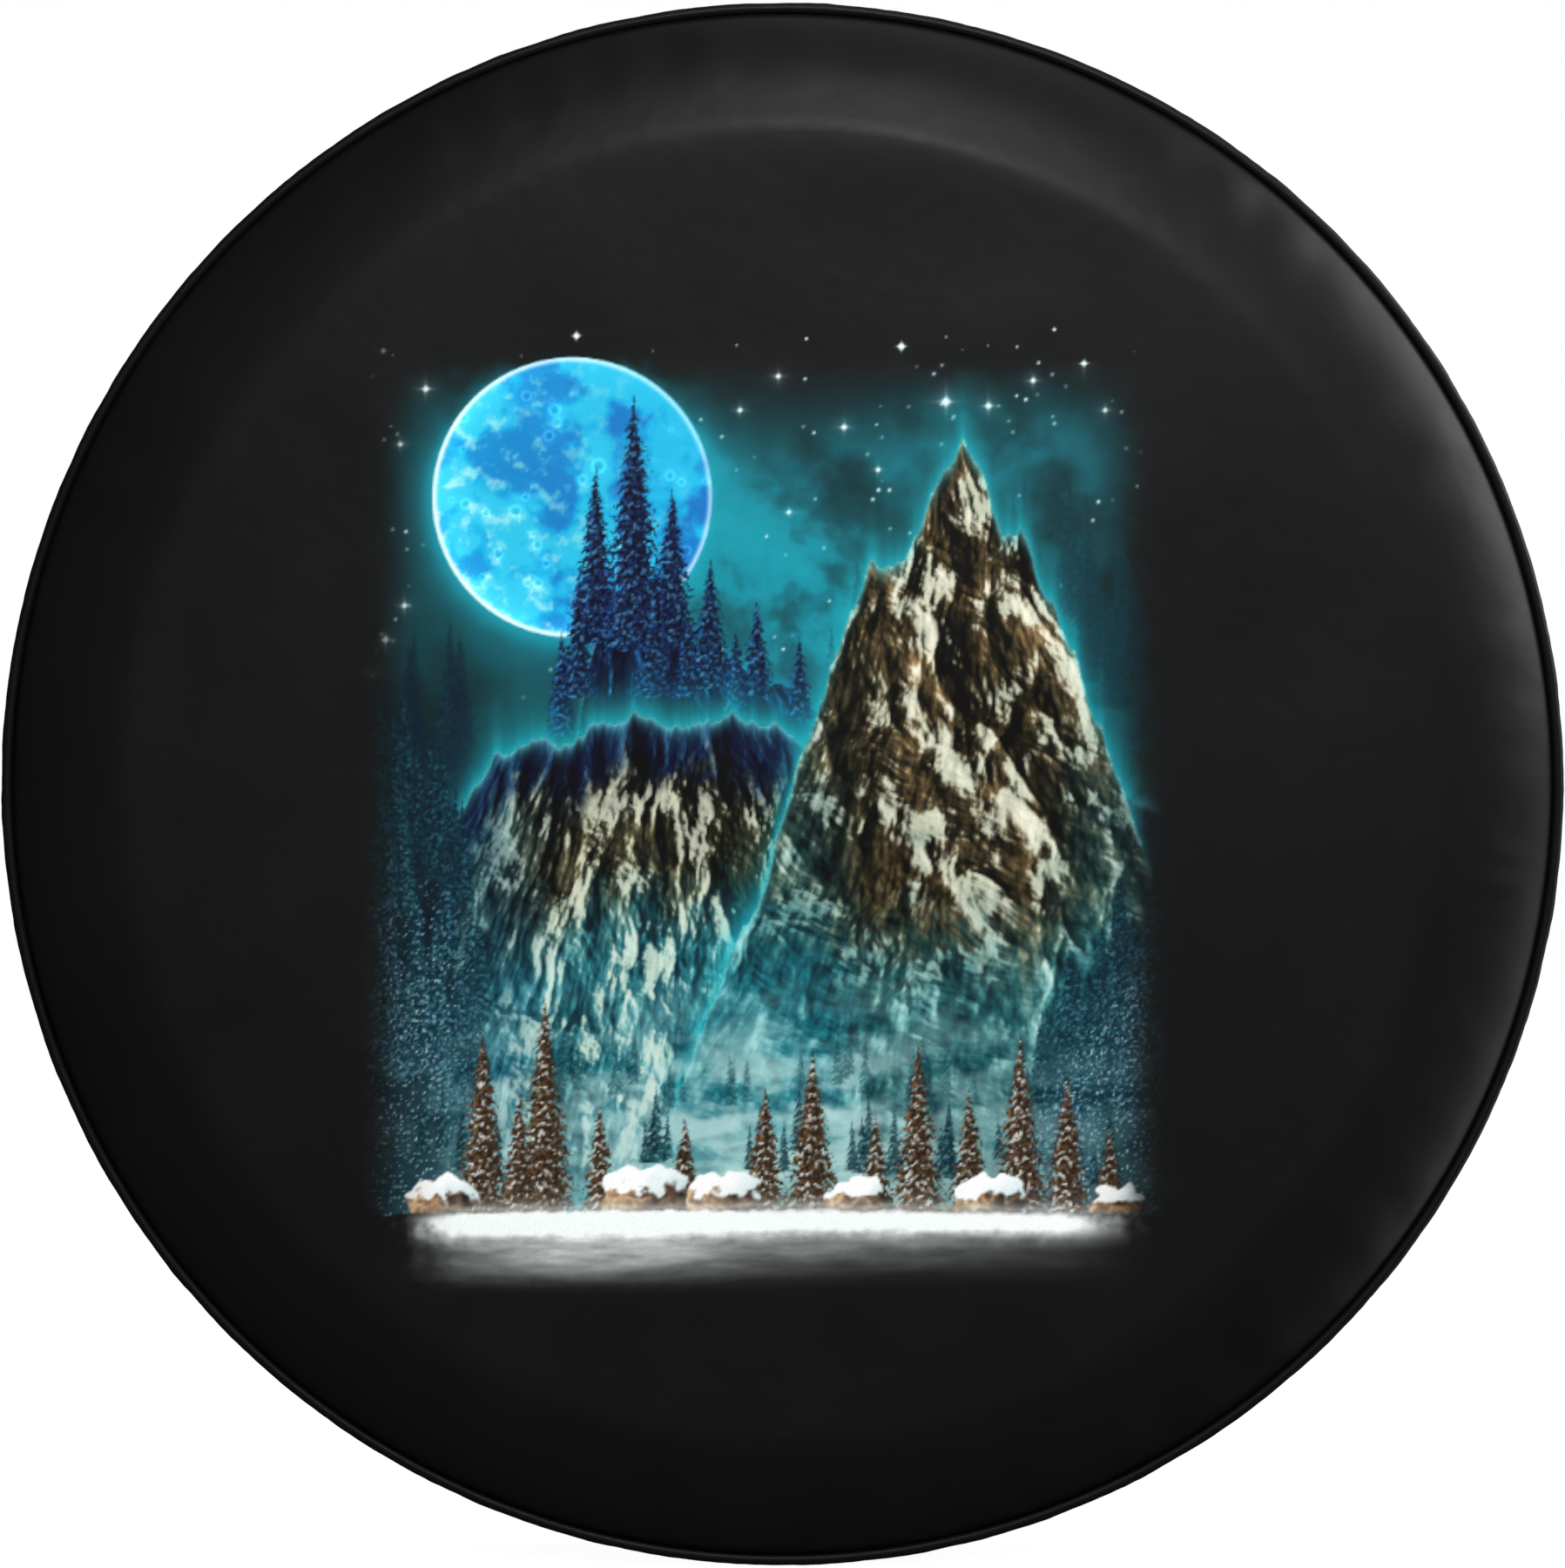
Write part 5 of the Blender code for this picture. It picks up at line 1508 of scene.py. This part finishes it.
def patch_plate(name, matrix, size, thick, corner, mat, bend=0.0):
    """A rounded square of vinyl with a hole, its outer face at local height 0."""
    n = 56
    outline = []
    hx, hy = size[0] / 2, size[1] / 2
    for k in range(n):
        a = 2 * pi * k / n
        # a rounded square in polar form
        c, s = abs(cos(a)), abs(sin(a))
        e = 5.0
        r = 1.0 / ((c / hx) ** e + (s / hy) ** e) ** (1 / e)
        outline.append((r * cos(a), r * sin(a)))
    outline = np.array(outline)
    hole = np.array([(5.95 * cos(2 * pi * k / n), 5.95 * sin(2 * pi * k / n)) for k in range(n)])
    loops = []
    for t in (0.0, 0.15, 0.4, 0.7, 0.95, 1.0):
        loops.append(hole + (outline - hole) * t)
    top = [np.column_stack([l, np.zeros(n)]) for l in loops]
    top[-1][:, 2] -= 0.35
    bottom = [np.column_stack([l, np.full(n, -thick)]) for l in reversed(loops)]
    bottom[0][:, 2] += 0.35
    rings = np.array(top + bottom)
    if bend:
        rings[..., 2] += bend - np.sqrt(np.maximum(bend**2 - rings[..., 0] ** 2, 0.0))
    world = np.array(matrix)
    flat = rings.reshape(-1, 3) @ world[:3, :3].T + world[:3, 3] / MM
    rings = flat.reshape(rings.shape)
    return loft(name, rings, [mat], True, 50)


def build_eyelets():
    patch = 1.1
    low = -VINYL - 0.3 - patch
    for sign, label in ((-1, "left"), (1, "right")):
        x, z = sign * EYELET_R * sin(radians(EYELET_DEG)), EYELET_R * cos(radians(EYELET_DEG))
        place_it = at(x, REAR_Y, z) @ ALONG_Y
        for name, section, mat, node, slot_name in (
            ("eyelet_" + label, grommet_section(low, 0.15), "brass", "security_grommet_" + label, "eyelet_brass"),
            ("eyelet_washer_" + label, washer_section(low), "brass", "security_washer_" + label, "eyelet_brass"),
        ):
            obj = spun(name, section, 64, place_it, [MAT[mat]], 45)
            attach(obj, "cover")
            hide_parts(node)
        obj = patch_plate("eyelet_patch_" + label, at(x, REAR_Y - VINYL - 0.3, z) @ ALONG_Y, (42, 42), patch, 6, MAT["band"])
        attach(obj, "cover")
        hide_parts("security_patch_" + label)
        # a square of topstitching holds the patch
        k = np.linspace(0, 1, 241)
        square = []
        for q in k:
            a = 2 * pi * q + 0.1
            c, s = abs(cos(a)), abs(sin(a))
            r = 1.0 / ((c / 17.0) ** 7 + (s / 17.0) ** 7) ** (1 / 7)
            square.append((r * cos(a), r * sin(a)))
        square = np.array(square)
        px, pz = x + square[:, 0], z + square[:, 1]
        rad, ang = np.hypot(px, pz), np.arctan2(pz, px)
        py = REAR_Y + gather(ang, rad)
        pts = np.stack([px, py, pz], 1)
        nrm = np.tile((0.0, 1.0, 0.0), (len(pts), 1))
        run = stitches("eyelet_stitching_" + label, pts, nrm, 3.0, 2.5, 0.32, MAT["thread"], 0.12)
        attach(run, "cover")
    down = at(0, DRAIN_Y, -BAND_R + 0.5) @ ALONG_MINUS_Z
    sag = 0.6
    low = -VINYL - sag - patch
    for name, section, node in (
        ("drain_eyelet", grommet_section(low, 0.1), "drain_grommet"),
        ("drain_eyelet_washer", washer_section(low), "drain_washer"),
    ):
        obj = spun(name, section, 64, down, [MAT["brass"]], 45)
        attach(obj, "cover")
        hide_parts(node)
    obj = patch_plate("drain_eyelet_patch", at(0, DRAIN_Y, -BAND_R + 0.5 + VINYL + sag) @ ALONG_MINUS_Z, (30, 42), patch, 6,
                      MAT["band"], 365.0)
    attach(obj, "cover")
    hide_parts("drain_patch")


# ---------------------------------------------------------------- tapes behind the joins
def build_tapes():
    for side, centre, node in (("left", 180.0, "join_tape_left"), ("right", 0.0, "join_tape_right")):
        theta = np.radians(centre + np.linspace(-1.9, 1.9, 25))
        run = np.interp(np.linspace(WELT_Y + 11.0, 204.5, 60), PROFILE[:46, 1], PROFILE_RUN[:46])
        grid = band_points(theta[None, :], run[:, None])
        n = np.zeros_like(grid)
        n[..., 0], n[..., 2] = np.cos(theta)[None, :], np.sin(theta)[None, :]
        grid = grid - n * (VINYL + 0.5)
        obj = skin("seam_tape_" + side, grid, 0.8, [MAT["tape"], MAT["tape"]], False)
        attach(obj, "cover")
        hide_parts(node)


# ---------------------------------------------------------------- topstitching
def build_stitching():
    # a row round the band, behind the welt
    cols = 3600
    theta = np.linspace(0, 2 * pi, cols)
    run = np.interp(WELT_Y + 12.0, PROFILE[:30, 1], PROFILE_RUN[:30])
    pts, nrm = band_points(theta, np.full(cols, run)), band_normal(theta, np.full(cols, run))
    obj = stitches("edge_stitching", pts, nrm, 4.0, 3.3, 0.34, MAT["thread"], 0.1)
    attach(obj, "cover")
    # two rows beside each join
    for label, centre in (("right", 0.0), ("left", 180.0)):
        for i, off in enumerate((-5.0, 5.0)):
            s = np.linspace(PROFILE_RUN[4], PROFILE_RUN[-1] - 9.0, 1200)
            r = np.interp(s, PROFILE_RUN, PROFILE[:, 0])
            t = radians(centre) + off / r
            obj = stitches(f"join_stitching_{label}_{i + 1}", band_points(t, s), band_normal(t, s), 4.0, 3.3, 0.34,
                           MAT["thread"], 0.1)
            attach(obj, "cover")
    # a row through the hem tape
    cols = 3600
    theta = np.radians(np.linspace(-90 + HEM_GAP + 0.3, 270 - HEM_GAP - 0.3, cols))
    r = np.full(cols, 273.5)
    y = REAR_Y - VINYL / 2 + 1.7 + hem_lift(theta, r)
    pts = np.stack([r * np.cos(theta), y, r * np.sin(theta)], 1)
    nrm = np.cross(np.gradient(pts, axis=0), np.stack([np.cos(theta), 0 * theta, np.sin(theta)], 1))
    nrm /= np.linalg.norm(nrm, axis=1, keepdims=True)
    nrm *= np.sign(nrm[:, 1:2])
    obj = stitches("hem_stitching", pts, nrm, 3.4, 2.9, 0.3, MAT["thread"], 0.12)
    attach(obj, "cover")


build_face()
build_band()
build_welt()
build_casing()
build_cord()
build_lock()
build_eyelets()
build_tapes()
build_stitching()


# ---------------------------------------------------------------- studio
def build_studio():
    scene = bpy.context.scene
    scene.view_settings.view_transform = "Standard"
    scene.view_settings.look = "None"

    # floor: pale, and nearly white to the camera
    bm = bmesh.new()
    bmesh.ops.create_grid(bm, x_segments=1, y_segments=1, size=6.0)
    bmesh.ops.translate(bm, verts=bm.verts, vec=(0, 1.0, -0.3712))
    mesh = bpy.data.meshes.new("floor")
    bm.to_mesh(mesh)
    bm.free()
    mat = bpy.data.materials.new("floor_paper")
    mat.use_nodes = True
    b = mat.node_tree.nodes["Principled BSDF"]
    b.inputs["Base Color"].default_value = (0.5, 0.5, 0.5, 1)
    b.inputs["Roughness"].default_value = 0.9
    b.inputs["Specular IOR Level"].default_value = 0.0
    b.inputs["Emission Color"].default_value = (1, 1, 1, 1)
    # nearly white close to the cover, where its shadow falls, and all white further off
    where, x, y, z = place(mat.node_tree)
    away = ((x * x + (y - 120.0) * (y - 120.0)).sqrt()).ease(500.0, 1500.0)
    mat.node_tree.links.new((away * 0.035 + 0.972).socket, b.inputs["Emission Strength"])
    mesh.materials.append(mat)
    floor = bpy.data.objects.new("floor", mesh)
    scene.collection.objects.link(floor)
    floor.visible_glossy = False
    floor.visible_diffuse = False
    floor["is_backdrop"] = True

    # white to the camera, dim to everything else
    world = bpy.data.worlds.new("studio")
    scene.world = world
    world.use_nodes = True
    t = world.node_tree
    t.nodes.clear()
    out = t.nodes.new("ShaderNodeOutputWorld")
    mix = t.nodes.new("ShaderNodeMixShader")
    path = t.nodes.new("ShaderNodeLightPath")
    seen, lit = t.nodes.new("ShaderNodeBackground"), t.nodes.new("ShaderNodeBackground")
    seen.inputs["Color"].default_value = (1, 1, 1, 1)
    seen.inputs["Strength"].default_value = 1.0
    lit.inputs["Color"].default_value = (1, 1, 1, 1)
    lit.inputs["Strength"].default_value = 0.034
    t.links.new(path.outputs["Is Camera Ray"], mix.inputs[0])
    t.links.new(lit.outputs[0], mix.inputs[1])
    t.links.new(seen.outputs[0], mix.inputs[2])
    t.links.new(mix.outputs[0], out.inputs[0])

    def area(name, where, aim, size, power, shape="RECTANGLE"):
        data = bpy.data.lights.new(name, "AREA")
        data.shape = shape
        data.size, data.size_y = size
        data.energy = power
        obj = bpy.data.objects.new(name, data)
        scene.collection.objects.link(obj)
        obj.location = where
        obj.rotation_mode = "QUATERNION"
        obj.rotation_quaternion = (Vector(aim) - Vector(where)).to_track_quat("-Z", "Y")
        return obj

    # A softbox close above the camera gives the panel its gradient and the rib its highlight, a
    # panel at the right gives the shoulder its sheen, and a broad fill lights the print evenly.
    area("key_softbox", (0.16, -1.15, 0.88), (0.0, 0.0, 0.12), (0.36, 0.42), 3.65)
    fill = area("front_fill", (0.5, -3.4, 1.3), (0, 0, 0), (3.0, 2.4), 190)
    fill.visible_glossy = False
    side = area("side_panel", (1.62, 0.04, 0.84), (0.34, 0.04, 0.17), (1.35, 1.2), 13.5)
    top = area("top_panel", (0.35, 0.15, 1.9), (0.1, 0.05, 0.36), (1.2, 1.1), 1.8)
    low = area("low_side_panel", (1.60, 0.16, -0.62), (0.33, 0.04, -0.14), (1.0, 1.0), 2.7)
    # The pieces behind the edge seam, which the camera at the front doesn't see, have lights of
    # their own: strips along the wheel's axis for the tread, and boxes behind for the skirt.
    front, behind = bpy.data.collections.new("front_pieces"), bpy.data.collections.new("rear_pieces")
    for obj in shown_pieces():
        if obj.type == "MESH" and obj.name != "floor":
            (front if obj.name in ("front_panel", "edge_welt") else behind).objects.link(obj)
    side.light_linking.receiver_collection = front
    top.light_linking.receiver_collection = front
    low.light_linking.receiver_collection = front
    for name, where, aim, size, power in (
        ("strip_right", (1.45, 0.45, 1.45), (0.25, 0.12, 0.22), (2.3, 0.2), 11),
        ("strip_left", (-1.65, -0.35, 1.25), (-0.26, 0.12, 0.18), (2.3, 0.2), 11),
        ("strip_low_right", (1.8, 0.3, -0.45), (0.3, 0.12, -0.1), (1.8, 0.6), 7),
        ("strip_low_left", (-1.8, 0.3, -0.45), (-0.3, 0.12, -0.1), (1.8, 0.6), 7),
        ("back_right", (1.5, 2.1, 0.5), (0.0, 0.24, 0.0), (0.7, 0.7), 16),
        ("back_left", (-1.7, 1.35, 1.5), (0.0, 0.24, 0.0), (0.6, 0.6), 26),
    ):
        area(name, where, aim, size, power).light_linking.receiver_collection = behind
    area("back_fill", (0.3, 2.8, 1.4), (0.0, 0.1, 0.0), (2.0, 1.5), 9)

    cam = bpy.data.cameras.new("camera")
    cam.sensor_width = 36.0
    obj = bpy.data.objects.new("camera", cam)
    scene.collection.objects.link(obj)
    distance = 5.0
    silhouette_y = WELT_Y * MM
    half = 0.3712  # half of the frame's height at the silhouette
    # the sensor's width spans the frame's longer side
    cam.lens = 36.0 / 2 / (half / distance)
    obj.location = (0.0, silhouette_y - distance, 0.0)
    obj.rotation_euler = (radians(90), 0, 0)
    cam.clip_start, cam.clip_end = 0.1, 100
    scene.camera = obj


build_studio()
